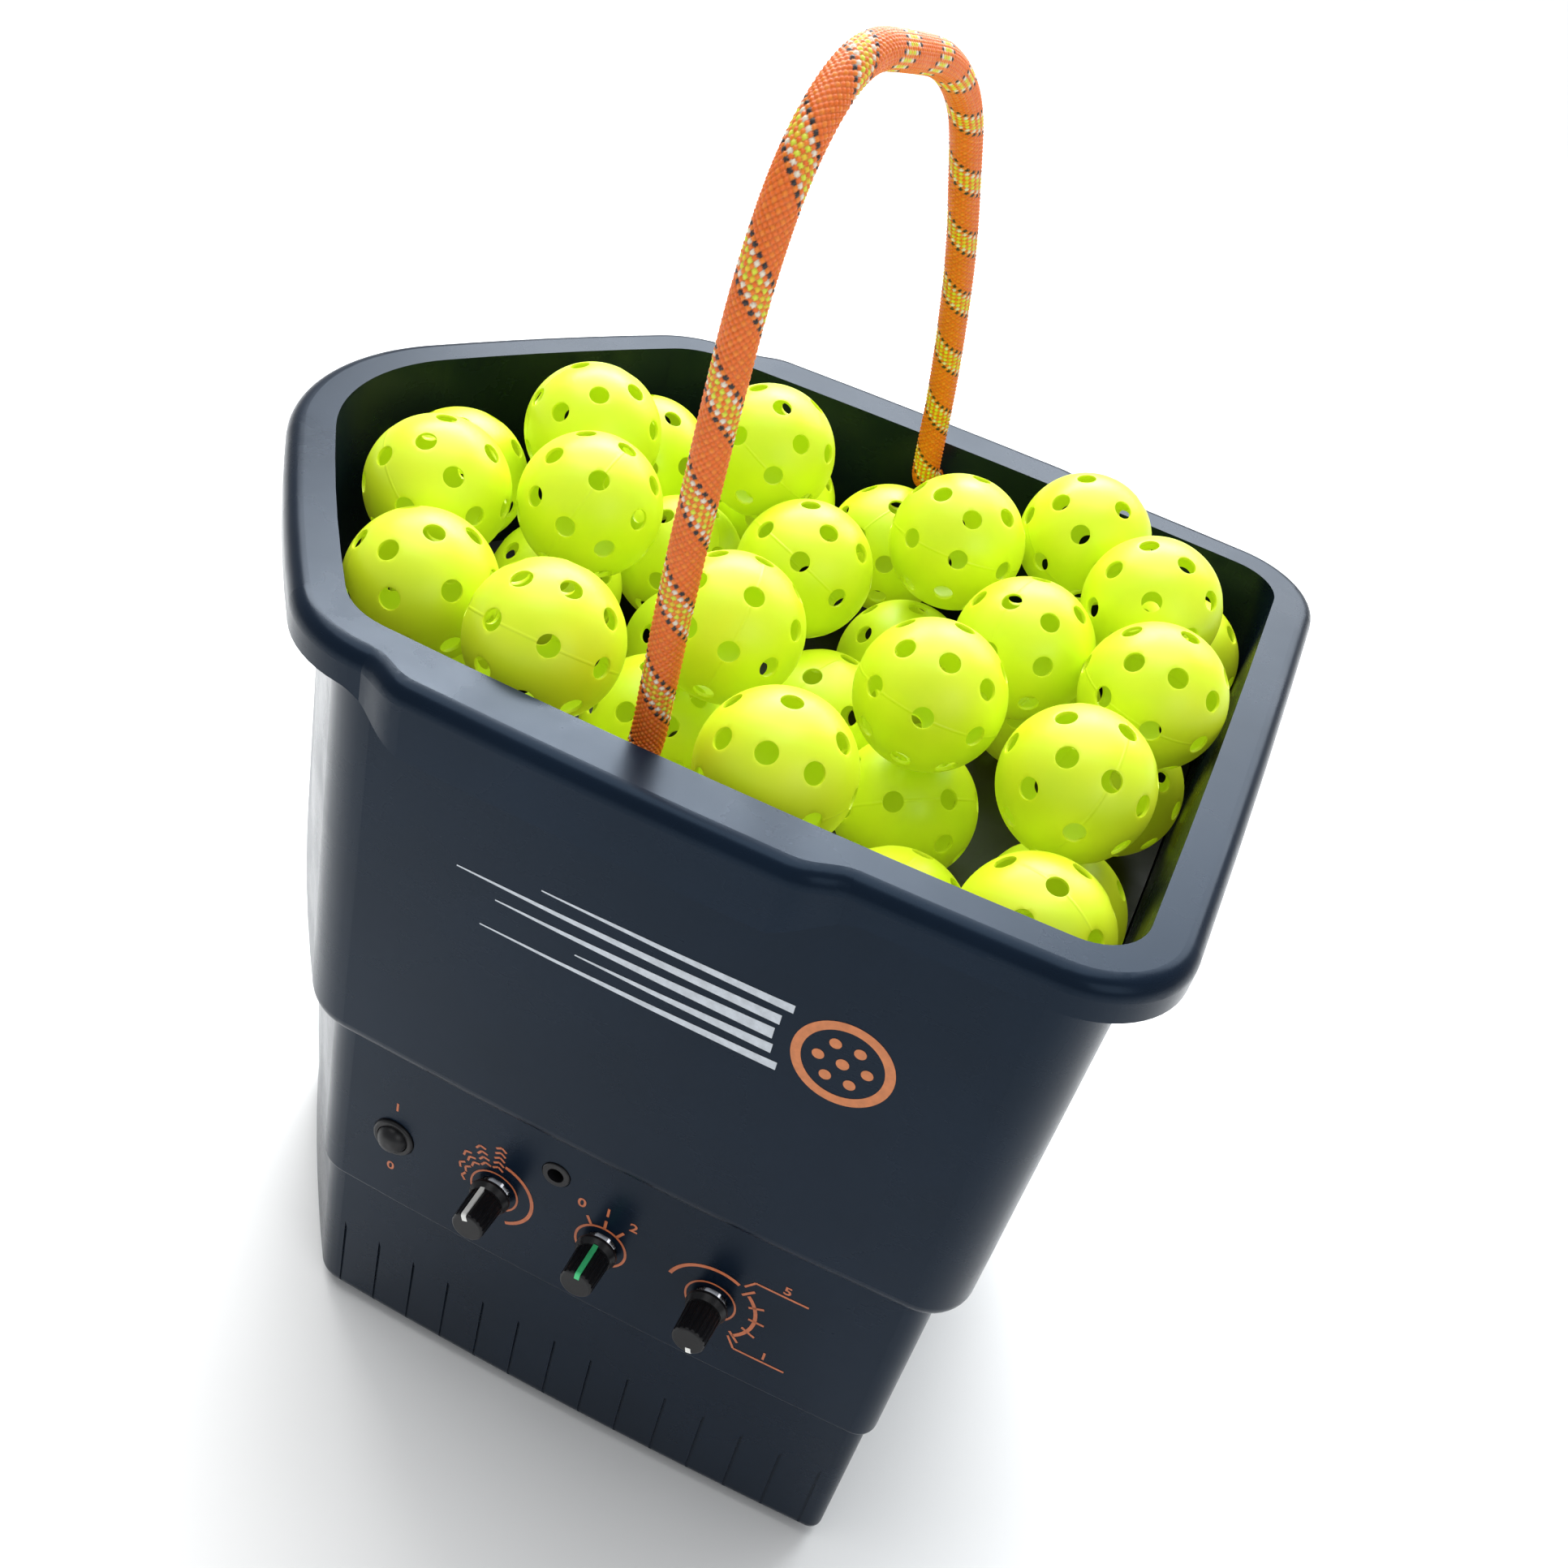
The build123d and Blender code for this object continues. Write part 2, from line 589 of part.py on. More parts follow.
# ---------------------------------------------------------------- launch wheels and motors
for side_name, side in (("left", 1), ("right", -1)):
    wheel_centre = (WHEEL_X, side * WHEEL_Y)
    wheel_low = LAUNCH_Z - WHEEL_WIDTH / 2
    deck_under = DECK_TOP - DECK_THICKNESS

    with BuildPart() as motor:
        with BuildSketch(Plane.XY.offset(deck_under - MOTOR_LENGTH)):
            with Locations(wheel_centre):
                Circle(MOTOR_RADIUS)
        extrude(amount=MOTOR_LENGTH)
        chamfer(motor.faces().group_by(Axis.Z)[0].edges(), 2)
        with BuildSketch(Plane.XY.offset(deck_under - MOTOR_LENGTH - 6)):
            with Locations(wheel_centre):
                Circle(8)
        extrude(amount=6)
        with BuildSketch(Plane.XY.offset(deck_under - 40)):
            with Locations(wheel_centre):
                Circle(WHEEL_SHAFT_RADIUS + 0.06)
        extrude(amount=40, mode=Mode.SUBTRACT)
        with BuildSketch(Plane.XY.offset(deck_under - 7)):
            with Locations(wheel_centre):
                with PolarLocations(MOTOR_SCREW_CIRCLE, 4, start_angle=45):
                    Circle(1.6)
        extrude(amount=7, mode=Mode.SUBTRACT)
    finish(motor.part, f"{side_name}_launch_motor")

    with BuildPart() as shaft:
        with BuildSketch(Plane.XY.offset(deck_under - 39)):
            with Locations(wheel_centre):
                Circle(WHEEL_SHAFT_RADIUS)
        extrude(amount=LAUNCH_Z + WHEEL_WIDTH / 2 + 8 - deck_under + 39)
    finish(shaft.part, f"{side_name}_wheel_shaft")

    with BuildPart() as hub:
        with BuildSketch(Plane.XY.offset(wheel_low)):
            with Locations(wheel_centre):
                Circle(HUB_RADIUS)
        extrude(amount=WHEEL_WIDTH)
        for web_low in (wheel_low, LAUNCH_Z + 4):
            with BuildSketch(Plane.XY.offset(web_low)):
                with Locations(wheel_centre):
                    Circle(HUB_RADIUS - 4)
                    Circle(10, mode=Mode.SUBTRACT)
            extrude(amount=WHEEL_WIDTH / 2 - 4, mode=Mode.SUBTRACT)
        with BuildSketch(Plane.XY.offset(wheel_low)):
            with Locations(wheel_centre):
                Circle(WHEEL_SHAFT_RADIUS + 0.02)
                with PolarLocations(21, 6):
                    Circle(6)
        extrude(amount=WHEEL_WIDTH, mode=Mode.SUBTRACT)
    finish(hub.part, f"{side_name}_wheel_hub")

    with BuildPart() as tyre:
        section_plane = Plane(origin=(*wheel_centre, LAUNCH_Z), x_dir=(1, 0, 0), z_dir=(0, -1, 0))
        with BuildSketch(section_plane) as section:
            with BuildLine():
                tread = Line((WHEEL_RADIUS, -WHEEL_WIDTH / 2 + 6), (WHEEL_RADIUS - 3, -WHEEL_WIDTH / 2))
                Polyline(
                    tread @ 1,
                    (HUB_RADIUS + 0.05, -WHEEL_WIDTH / 2),
                    (HUB_RADIUS + 0.05, WHEEL_WIDTH / 2),
                    (WHEEL_RADIUS - 3, WHEEL_WIDTH / 2),
                    (WHEEL_RADIUS, WHEEL_WIDTH / 2 - 6),
                )
                ThreePointArc((WHEEL_RADIUS, WHEEL_WIDTH / 2 - 6), (WHEEL_RADIUS - 3, 0), tread @ 0)
            make_face()
        revolve(axis=Axis((*wheel_centre, 0), (0, 0, 1)))
    finish(tyre.part, f"{side_name}_wheel_tyre")

    with BuildPart() as nut:
        with BuildSketch(Plane.XY.offset(LAUNCH_Z + WHEEL_WIDTH / 2)):
            with Locations(wheel_centre):
                RegularPolygon(8, 6)
                Circle(WHEEL_SHAFT_RADIUS + 0.02, mode=Mode.SUBTRACT)
        extrude(amount=6)
    finish(nut.part, f"{side_name}_wheel_nut")

# ---------------------------------------------------------------- ball path
TROUGH_INNER = BALL_RADIUS + 2
with BuildPart() as launch_trough:
    with BuildSketch(Plane.YZ.offset(TROUGH_START)):
        with Locations((0, LAUNCH_Z)):
            Circle(TROUGH_INNER + 3)
        with Locations((0, LAUNCH_Z + 50)):
            Rectangle(120, 100, mode=Mode.SUBTRACT)
        with Locations((0, (DECK_TOP + LAUNCH_Z - TROUGH_INNER) / 2)):
            Rectangle(40, LAUNCH_Z - TROUGH_INNER - DECK_TOP)
        with Locations((0, LAUNCH_Z)):
            Circle(TROUGH_INNER, mode=Mode.SUBTRACT)
    extrude(amount=TROUGH_LENGTH)
    with BuildSketch(Plane.YZ.offset(TROUGH_START - 3)):
        with Locations((0, LAUNCH_Z)):
            Circle(TROUGH_INNER + 3)
        with Locations((0, LAUNCH_Z + 50)):
            Rectangle(120, 100, mode=Mode.SUBTRACT)
    extrude(amount=3)
finish(launch_trough.part, "launch_trough")

with BuildPart() as drop_tube:
    with BuildSketch(Plane.XY.offset(DROP_TUBE_LOW)):
        with Locations((DROP_X, 0)):
            Circle(PORT_RADIUS + 2.5)
    extrude(amount=CAROUSEL_FLOOR_LOW - DROP_TUBE_LOW)
    with BuildSketch(Plane.XY.offset(CAROUSEL_FLOOR_LOW - 3)):
        with Locations((DROP_X, 0)):
            Circle(PORT_RADIUS + 9)
    extrude(amount=3)
    with BuildSketch(Plane.XY.offset(DROP_TUBE_LOW)):
        with Locations((DROP_X, 0)):
            Circle(PORT_RADIUS)
    extrude(amount=CAROUSEL_FLOOR_TOP, mode=Mode.SUBTRACT)
finish(drop_tube.part, "drop_tube")

with BuildPart() as launch_port:
    with BuildSketch(port_plane):
        Circle(PORT_FLANGE)
    extrude(amount=4)
    fillet(launch_port.faces().sort_by(Axis.X)[-1].edges(), 1.5)
    with BuildSketch(port_plane):
        Circle(PORT_RADIUS + 3.5)
    extrude(amount=-PORT_TUBE)
    with BuildSketch(port_plane.offset(4)):
        Circle(PORT_RADIUS)
    extrude(amount=-PORT_TUBE - 4, mode=Mode.SUBTRACT)
    with BuildSketch(port_plane):
        with PolarLocations(PORT_SCREW_CIRCLE, 6, start_angle=30):
            Circle(1.8)
    extrude(amount=4, mode=Mode.SUBTRACT)
finish(launch_port.part, "launch_port")

with BuildPart() as port_screws:
    with BuildSketch(port_plane.offset(4)):
        with PolarLocations(PORT_SCREW_CIRCLE, 6, start_angle=30):
            Circle(3.2)
    extrude(amount=2)
    fillet(port_screws.faces().group_by(Axis.X)[-1].edges(), 1.2)
    with BuildSketch(port_plane.offset(-10)):
        with PolarLocations(PORT_SCREW_CIRCLE, 6, start_angle=30):
            Circle(1.7)
    extrude(amount=14)
finish(port_screws.part, "port_screws")

# ---------------------------------------------------------------- hopper floor and feeder
floor_grow = GROW_BUCKET_LOW - WALL + 1.2
with BuildPart() as hopper_floor:
    floor_blank = plan_at(HOPPER_FLOOR_TOP - FLOOR_THICKNESS, floor_grow)
    add(extrude(floor_blank, amount=FLOOR_THICKNESS, mode=Mode.PRIVATE))
    with BuildSketch(Plane.XY.offset(HOPPER_FLOOR_TOP)):
        for angle in FEED_HOLE_ANGLES:
            with Locations(feeder_place(POCKET_CIRCLE, angle)):
                Circle(POCKET_RADIUS + 3)
        with Locations((FEED_AXIS_X, 0)):
            with PolarLocations(FLOOR_SCREW_CIRCLE, 4, start_angle=45):
                Circle(2.1)
    extrude(amount=-FLOOR_THICKNESS, mode=Mode.SUBTRACT)
finish(hopper_floor.part, "hopper_floor")

with BuildPart() as floor_screws:
    with BuildSketch(Plane.XY.offset(HOPPER_FLOOR_TOP)):
        with Locations((FEED_AXIS_X, 0)):
            with PolarLocations(FLOOR_SCREW_CIRCLE, 4, start_angle=45):
                Circle(FLOOR_SCREW_HEAD_RADIUS)
    extrude(amount=FLOOR_SCREW_HEAD_HEIGHT)
    with BuildSketch(Plane.XY.offset(HOPPER_FLOOR_TOP)):
        with Locations((FEED_AXIS_X, 0)):
            with PolarLocations(FLOOR_SCREW_CIRCLE, 4, start_angle=45):
                Circle(2)
    extrude(amount=-FLOOR_THICKNESS - 8)
finish(floor_screws.part, "floor_screws")

with BuildPart() as carousel_floor:
    with BuildSketch(Plane.XY.offset(CAROUSEL_FLOOR_LOW)):
        with Locations((FEED_AXIS_X, 0)):
            Circle(HOUSING_RADIUS + HOUSING_WALL)
            Circle(FEED_SHAFT_RADIUS + 2, mode=Mode.SUBTRACT)
            with PolarLocations(MOTOR_SCREW_CIRCLE, 4, start_angle=45):
                Circle(1.7, mode=Mode.SUBTRACT)
        with Locations((DROP_X, 0)):
            Circle(PORT_RADIUS, mode=Mode.SUBTRACT)
    extrude(amount=FLOOR_THICKNESS)
finish(carousel_floor.part, "carousel_floor")

with BuildPart() as carousel_housing:
    housing_top = HOPPER_FLOOR_TOP - FLOOR_THICKNESS
    with BuildSketch(Plane.XY.offset(CAROUSEL_FLOOR_TOP)):
        with Locations((FEED_AXIS_X, 0)):
            Circle(HOUSING_RADIUS + HOUSING_WALL)
            Circle(HOUSING_RADIUS, mode=Mode.SUBTRACT)
    extrude(amount=housing_top - CAROUSEL_FLOOR_TOP)
    with BuildSketch(Plane.XY.offset(housing_top - FLOOR_THICKNESS)):
        with Locations((FEED_AXIS_X, 0)):
            Circle(HOUSING_RADIUS + HOUSING_FLANGE)
            Circle(HOUSING_RADIUS, mode=Mode.SUBTRACT)
            with PolarLocations(FLOOR_SCREW_CIRCLE, 4, start_angle=45):
                Circle(2.1, mode=Mode.SUBTRACT)
    extrude(amount=FLOOR_THICKNESS)
finish(carousel_housing.part, "carousel_housing")

with BuildPart() as feed_carousel:
    with BuildSketch(Plane.XY.offset(CAROUSEL_LOW)) as star:
        with Locations((FEED_AXIS_X, 0)):
            Circle(CAROUSEL_RADIUS)
            with PolarLocations(POCKET_CIRCLE, POCKETS):
                Circle(POCKET_RADIUS, mode=Mode.SUBTRACT)
        tips = star.vertices().filter_by(lambda v: hypot(v.X - FEED_AXIS_X, v.Y) > POCKET_CIRCLE)
        fillet(tips, SPOKE_TIP_ROUND)
    extrude(amount=CAROUSEL_TOP - CAROUSEL_LOW)
    with BuildSketch(Plane.XY.offset(CAROUSEL_TOP)):
        with Locations((FEED_AXIS_X, 0)):
            Circle(16)
    extrude(amount=8, taper=10)
    with BuildSketch(Plane.XY.offset(CAROUSEL_LOW)):
        with Locations((FEED_AXIS_X, 0)):
            Circle(FEED_SHAFT_RADIUS + 0.02)
    extrude(amount=100, mode=Mode.SUBTRACT)
finish(feed_carousel.part, "feed_carousel")

with BuildPart() as carousel_nut:
    with BuildSketch(Plane.XY.offset(CAROUSEL_TOP + 8)):
        with Locations((FEED_AXIS_X, 0)):
            RegularPolygon(9, 6)
            Circle(FEED_SHAFT_RADIUS + 0.02, mode=Mode.SUBTRACT)
    extrude(amount=7)
finish(carousel_nut.part, "carousel_nut")

with BuildPart() as carousel_shaft:
    with BuildSketch(Plane.XY.offset(270)):
        with Locations((FEED_AXIS_X, 0)):
            Circle(FEED_SHAFT_RADIUS)
    extrude(amount=CAROUSEL_TOP + 17 - 270)
finish(carousel_shaft.part, "carousel_shaft")

with BuildPart() as feeder_gearmotor:
    with BuildSketch(Plane.XY.offset(268)):
        with Locations((FEED_AXIS_X, 0)):
            Circle(24)
    extrude(amount=CAROUSEL_FLOOR_LOW - 268)
    with BuildSketch(Plane.XY.offset(216)):
        with Locations((FEED_AXIS_X, 0)):
            Circle(18)
    extrude(amount=52)
    chamfer(feeder_gearmotor.faces().group_by(Axis.Z)[0].edges(), 2)
    with BuildSketch(Plane.XY.offset(CAROUSEL_FLOOR_LOW)):
        with Locations((FEED_AXIS_X, 0)):
            Circle(FEED_SHAFT_RADIUS + 0.06)
    extrude(amount=-33, mode=Mode.SUBTRACT)
    with BuildSketch(Plane.XY.offset(CAROUSEL_FLOOR_LOW)):
        with Locations((FEED_AXIS_X, 0)):
            with PolarLocations(15, 4, start_angle=45):
                Circle(1.6)
    extrude(amount=-7, mode=Mode.SUBTRACT)
finish(feeder_gearmotor.part, "feeder_gearmotor")

# ---------------------------------------------------------------- battery and control board
with BuildPart() as battery_pack:
    with BuildSketch(Plane.XY.offset(CHASSIS_TOP)):
        with Locations((BATTERY_X, 0)):
            RectangleRounded(BATTERY_SIZE[0], BATTERY_SIZE[1], 8)
    extrude(amount=BATTERY_SIZE[2])
    fillet(battery_pack.faces().sort_by(Axis.Z)[-1].edges(), 3)
finish(battery_pack.part, "battery_pack")

with BuildPart() as battery_strap:
    strap_top = CHASSIS_TOP + BATTERY_SIZE[2] + 0.2
    strap_side = BATTERY_SIZE[1] / 2 + 0.2
    with BuildSketch(Plane.YZ.offset(BATTERY_X - STRAP_WIDTH / 2)):
        with BuildLine():
            Polyline(
                (-strap_side - 12, CHASSIS_TOP),
                (-strap_side - 12, CHASSIS_TOP + STRAP_THICKNESS),
                (-strap_side - STRAP_THICKNESS, CHASSIS_TOP + STRAP_THICKNESS),
                (-strap_side - STRAP_THICKNESS, strap_top + STRAP_THICKNESS),
                (0, strap_top + STRAP_THICKNESS),
                (0, strap_top),
                (-strap_side, strap_top),
                (-strap_side, CHASSIS_TOP),
                close=True,
            )
        make_face()
        mirror(about=Plane.YZ)
    extrude(amount=STRAP_WIDTH)
finish(battery_strap.part, "battery_strap")

with BuildPart() as control_board:
    with BuildSketch(Plane.XY.offset(BOARD_Z)):
        with Locations(BOARD_CENTRE):
            Rectangle(*BOARD_SIZE)
            with GridLocations(BOARD_SIZE[0] - 8, BOARD_SIZE[1] - 8, 2, 2):
                Circle(1.6, mode=Mode.SUBTRACT)
    extrude(amount=1.6)
    with BuildSketch(Plane.XY.offset(BOARD_Z + 1.6)):
        with Locations(BOARD_CENTRE):
            with Locations((-22, 8)):
                Rectangle(22, 16)
            with Locations((10, -24), (25, -24), (-5, -24)):
                Rectangle(12, 8)
    extrude(amount=9)
    with BuildSketch(Plane.XY.offset(BOARD_Z + 1.6)):
        with Locations(BOARD_CENTRE):
            with Locations((14, 6), (30, 6)):
                Circle(6)
            with Locations((8, 22), (-6, 22), (-20, 24)):
                Rectangle(8, 5)
    extrude(amount=16)
finish(control_board.part, "control_board")

with BuildPart() as board_posts:
    with BuildSketch(Plane.XY.offset(CHASSIS_TOP)):
        with Locations(BOARD_CENTRE):
            with GridLocations(BOARD_SIZE[0] - 8, BOARD_SIZE[1] - 8, 2, 2):
                Circle(3.5)
    extrude(amount=BOARD_Z - CHASSIS_TOP)
    with BuildSketch(Plane.XY.offset(BOARD_Z)):
        with Locations(BOARD_CENTRE):
            with GridLocations(BOARD_SIZE[0] - 8, BOARD_SIZE[1] - 8, 2, 2):
                Circle(1.5)
    extrude(amount=3.5)
finish(board_posts.part, "board_posts")

# ---------------------------------------------------------------- knobs and their controls
for name, seat, dial, body_radius, body_depth in (
    ("feeder", feed_seat, FEEDER_DIAL, 12, 9),
    ("power", power_seat, POWER_DIAL, 14, 16),
    ("speed", speed_seat, SPEED_DIAL, 12, 9),
):
    with BuildPart() as control:
        with BuildSketch(seat.offset(-WALL)):
            Circle(body_radius)
        extrude(amount=-body_depth)
        with BuildSketch(seat.offset(-WALL)):
            Circle(BUSHING_RADIUS)
        extrude(amount=WALL + NUT_SEAT + NUT_HEIGHT)
        with BuildSketch(seat.offset(NUT_SEAT + NUT_HEIGHT)):
            Circle(SHAFT_RADIUS + 0.06)
        extrude(amount=-NUT_SEAT - NUT_HEIGHT - WALL - 6, mode=Mode.SUBTRACT)
    finish(control.part, f"{name}_control")

    with BuildPart() as stem:
        with BuildSketch(seat.offset(-WALL - 5)):
            Circle(SHAFT_RADIUS)
        extrude(amount=WALL + 5 + KNOB_REACH - 8)
    finish(stem.part, f"{name}_stem")

    with BuildPart() as knob:
        with BuildSketch(seat.offset(KNOB_GAP)):
            Circle(KNOB_RADIUS + 2)
        extrude(amount=1.5)
        with BuildSketch(seat.offset(KNOB_GAP + 1.5)):
            Circle(KNOB_RADIUS + 2)
        extrude(amount=3.4, taper=25)
        with BuildSketch(seat.offset(KNOB_GAP + 3)):
            Circle(KNOB_RADIUS)
        extrude(amount=KNOB_REACH - KNOB_GAP - 3, taper=1.5)
        fillet(knob.faces().sort_by(Axis.Y)[0].edges(), 1.6)
        with BuildSketch(seat.offset(KNOB_GAP + 5.5)):
            first_flute = 90 - dial + 180 / KNOB_FLUTES
            with PolarLocations(KNOB_RADIUS + 0.6, KNOB_FLUTES, start_angle=first_flute):
                Circle(1.5)
        extrude(amount=KNOB_REACH, mode=Mode.SUBTRACT)
        with BuildSketch(seat.offset(KNOB_GAP)):
            Circle(SHAFT_RADIUS + 0.02)
        extrude(amount=KNOB_REACH - 8 - KNOB_GAP + 0.2, mode=Mode.SUBTRACT)
        with BuildSketch(seat.offset(KNOB_GAP + 4)):
            with Locations(Location((0, 0), -dial)):
                with Locations((0, POINTER_INNER + POINTER_LENGTH / 2)):
                    Rectangle(POINTER_WIDTH, POINTER_LENGTH)
        extrude(amount=KNOB_REACH, mode=Mode.SUBTRACT)
    finish(knob.part, f"{name}_knob")

    with BuildPart() as pointer:
        with BuildSketch(seat.offset(KNOB_GAP + 4.05)):
            Circle(KNOB_RADIUS + 0.25)
        extrude(amount=KNOB_REACH - KNOB_GAP - 3.9, taper=1.5)
        fillet(pointer.faces().sort_by(Axis.Y)[0].edges(), 1.6)
        with BuildSketch(seat.offset(KNOB_GAP)):
            with Locations(Location((0, 0), -dial)):
                with Locations((0, POINTER_INNER + 0.05 + POINTER_LENGTH / 2)):
                    Rectangle(POINTER_WIDTH - 0.1, POINTER_LENGTH)
        extrude(amount=KNOB_REACH + 5, mode=Mode.INTERSECT)
    finish(pointer.part, f"{name}_pointer")

with BuildPart() as panel_washers:
    for seat in (feed_seat, power_seat, speed_seat):
        with BuildSketch(seat):
            Circle(WASHER_RADIUS)
            Circle(BUSHING_RADIUS + 0.1, mode=Mode.SUBTRACT)
        extrude(amount=NUT_SEAT)
finish(panel_washers.part, "panel_washers")

with BuildPart() as panel_nuts:
    for seat in (feed_seat, power_seat, speed_seat):
        with BuildSketch(seat.offset(NUT_SEAT)):
            RegularPolygon(NUT_ACROSS_FLATS / 2, 6, major_radius=False)
            Circle(NUT_ACROSS_FLATS / 2 + 0.7, mode=Mode.INTERSECT)
            Circle(BUSHING_RADIUS + 0.02, mode=Mode.SUBTRACT)
        extrude(amount=NUT_HEIGHT)
finish(panel_nuts.part, "panel_nuts")

# ---------------------------------------------------------------- push button
with BuildPart() as button_bezel:
    with BuildSketch(button_seat):
        Circle(BEZEL_RADIUS)
    extrude(amount=3.2)
    fillet(button_bezel.faces().sort_by(Axis.Y)[0].edges(), 1.6)
    with BuildSketch(button_seat):
        Circle(BARREL_RADIUS)
    extrude(amount=-18)
    with BuildSketch(button_seat.offset(4)):
        Circle(DOME_RADIUS + 0.3)
    extrude(amount=-22, mode=Mode.SUBTRACT)
finish(button_bezel.part, "button_bezel")

with BuildPart() as remote_button:
    with BuildSketch(button_seat.offset(-BUTTON_TRAVEL - 3)):
        Circle(DOME_RADIUS)
    extrude(amount=BUTTON_TRAVEL + 3 + 9)
    fillet(remote_button.faces().sort_by(Axis.Y)[0].edges(), 7.5)
finish(remote_button.part, "remote_button")

with BuildPart() as button_switch:
    with BuildSketch(button_seat.offset(-BUTTON_TRAVEL * 2 - 4)):
        Circle(DOME_RADIUS)
    extrude(amount=-8)
    with BuildSketch(button_seat.offset(-BUTTON_TRAVEL * 2 - 12)):
        Rectangle(15, 15)
    extrude(amount=-14)
finish(button_switch.part, "button_switch")

with BuildPart() as button_ring_nut:
    with BuildSketch(button_seat.offset(-WALL)):
        RegularPolygon(15, 6)
        Circle(BARREL_RADIUS + 0.1, mode=Mode.SUBTRACT)
    extrude(amount=-3.5)
finish(button_ring_nut.part, "button_ring_nut")

# ---------------------------------------------------------------- charging jack
with BuildPart() as charge_jack:
    with BuildSketch(jack_seat):
        Circle(JACK_FLANGE_RADIUS)
    extrude(amount=2)
    fillet(charge_jack.faces().sort_by(Axis.Y)[0].edges(), 0.8)
    with BuildSketch(jack_seat):
        Circle(JACK_BODY_RADIUS)
    extrude(amount=-19)
    with BuildSketch(jack_seat.offset(2)):
        Circle(JACK_HOLE_RADIUS)
    extrude(amount=-17, mode=Mode.SUBTRACT)
finish(charge_jack.part, "charge_jack")

with BuildPart() as jack_pin:
    with BuildSketch(jack_seat.offset(-15)):
        Circle(1.1)
    extrude(amount=7.5)
finish(jack_pin.part, "jack_pin")

# ---------------------------------------------------------------- side fixing bolts of the bucket
with BuildPart() as side_bolts:
    for bolt_seat in (bucket_bolt, base_bolt):
        with BuildSketch(bolt_seat):
            Circle(BOLT_HEAD_RADIUS)
        extrude(amount=BOLT_HEAD_HEIGHT)
        with BuildSketch(bolt_seat):
            Circle(BOLT_SHANK_RADIUS)
        extrude(amount=-BOLT_LENGTH)
finish(side_bolts.part, "side_bolts")

# ---------------------------------------------------------------- loose balls
ball_places = []
floor_height = HOPPER_FLOOR_TOP + BALL_RADIUS + 0.3
for x, y, height in HEAP_BALLS:
    height = max(height, floor_height)
    for other_x, other_y, other_height in ball_places:
        apart = hypot(other_x - x, other_y - y)
        if hypot(apart, other_height - height) < BALL_PITCH:
            height = other_height + sqrt(BALL_PITCH**2 - apart**2)
    ball_places.append((x, y, height))
fill_columns = int((FLAT_END_X - NOSE_POINT_X) / FILL_STEP)
fill_rows = int(2 * HALF_WIDTH / FILL_STEP)
fill_layers = int((FILL_TOP - floor_height) / FILL_STEP)
for layer in range(fill_layers + 1):
    for column in range(fill_columns):
        for row in range(fill_rows):
            x = FLAT_END_X - FILL_STEP * column
            y = FILL_STEP * row - HALF_WIDTH
            height = floor_height + FILL_STEP * layer
            nearest = min(hypot(a - x, b - y, c - height) for a, b, c in ball_places)
            room = min(room_inside(x, y, height), screw_gap(x, y, height))
            if nearest >= BALL_PITCH and room >= BALL_RADIUS + FILL_CLEAR:
                ball_places.append((x, y, height))
print("balls", len(ball_places))
with BuildPart() as loose_balls:
    with Locations(ball_places):
        Sphere(BALL_RADIUS)
        Sphere(BALL_RADIUS - BALL_SKIN, mode=Mode.SUBTRACT)
finish(loose_balls.part, "loose_balls")

# ---------------------------------------------------------------- rope handle
rope_points = [rope_start - rope_axis * ROPE_TAIL, rope_start + rope_axis * ROPE_BEND_IN]
rope_points += [Vector(*point) for point in ROPE_ROUTE]
rope_points += [rope_finish - rope_axis * ROPE_BEND_IN, rope_finish + rope_axis * ROPE_TAIL]
runs = [(b - a).length for a, b in zip(rope_points, rope_points[1:])]
turns = []
for before, here, after in zip(rope_points, rope_points[1:], rope_points[2:]):
    turns.append(radians((here - before).get_angle(after - here)))
rope_radii = [0.45 * min(pair) / tan(turn / 2) for pair, turn in zip(zip(runs, runs[1:]), turns)]
print("rope radii", [round(radius) for radius in rope_radii])
with BuildPart() as rope_handle:
    with BuildLine() as rope_path:
        FilletPolyline(*rope_points, radius=rope_radii)
    with BuildSketch(Plane(origin=rope_points[0], z_dir=rope_axis)):
        Circle(ROPE_RADIUS)
    sweep()
rope_length = sum(edge.length for edge in rope_path.edges())
rope_share = tube_volume_ratio(rope_handle.part, ROPE_RADIUS, rope_length)
print("rope length", round(rope_length), "volume share", round(rope_share, 3))
finish(rope_handle.part, "rope_handle")

for name, end, outward in (("front", rope_points[0], -rope_axis), ("back", rope_points[-1], rope_axis)):
    with BuildPart() as knot:
        with BuildSketch(Plane(origin=end, z_dir=outward)):
            Circle(KNOT_RADIUS)
        extrude(amount=KNOT_LENGTH)
        fillet(knot.edges(), KNOT_LENGTH * 0.3)
    finish(knot.part, f"{name}_rope_knot")
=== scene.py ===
import json
import random
from math import ceil, cos, floor, hypot, pi, radians, sin, sqrt

import bmesh
import bpy
from mathutils import Matrix, Vector
from mathutils.bvhtree import BVHTree


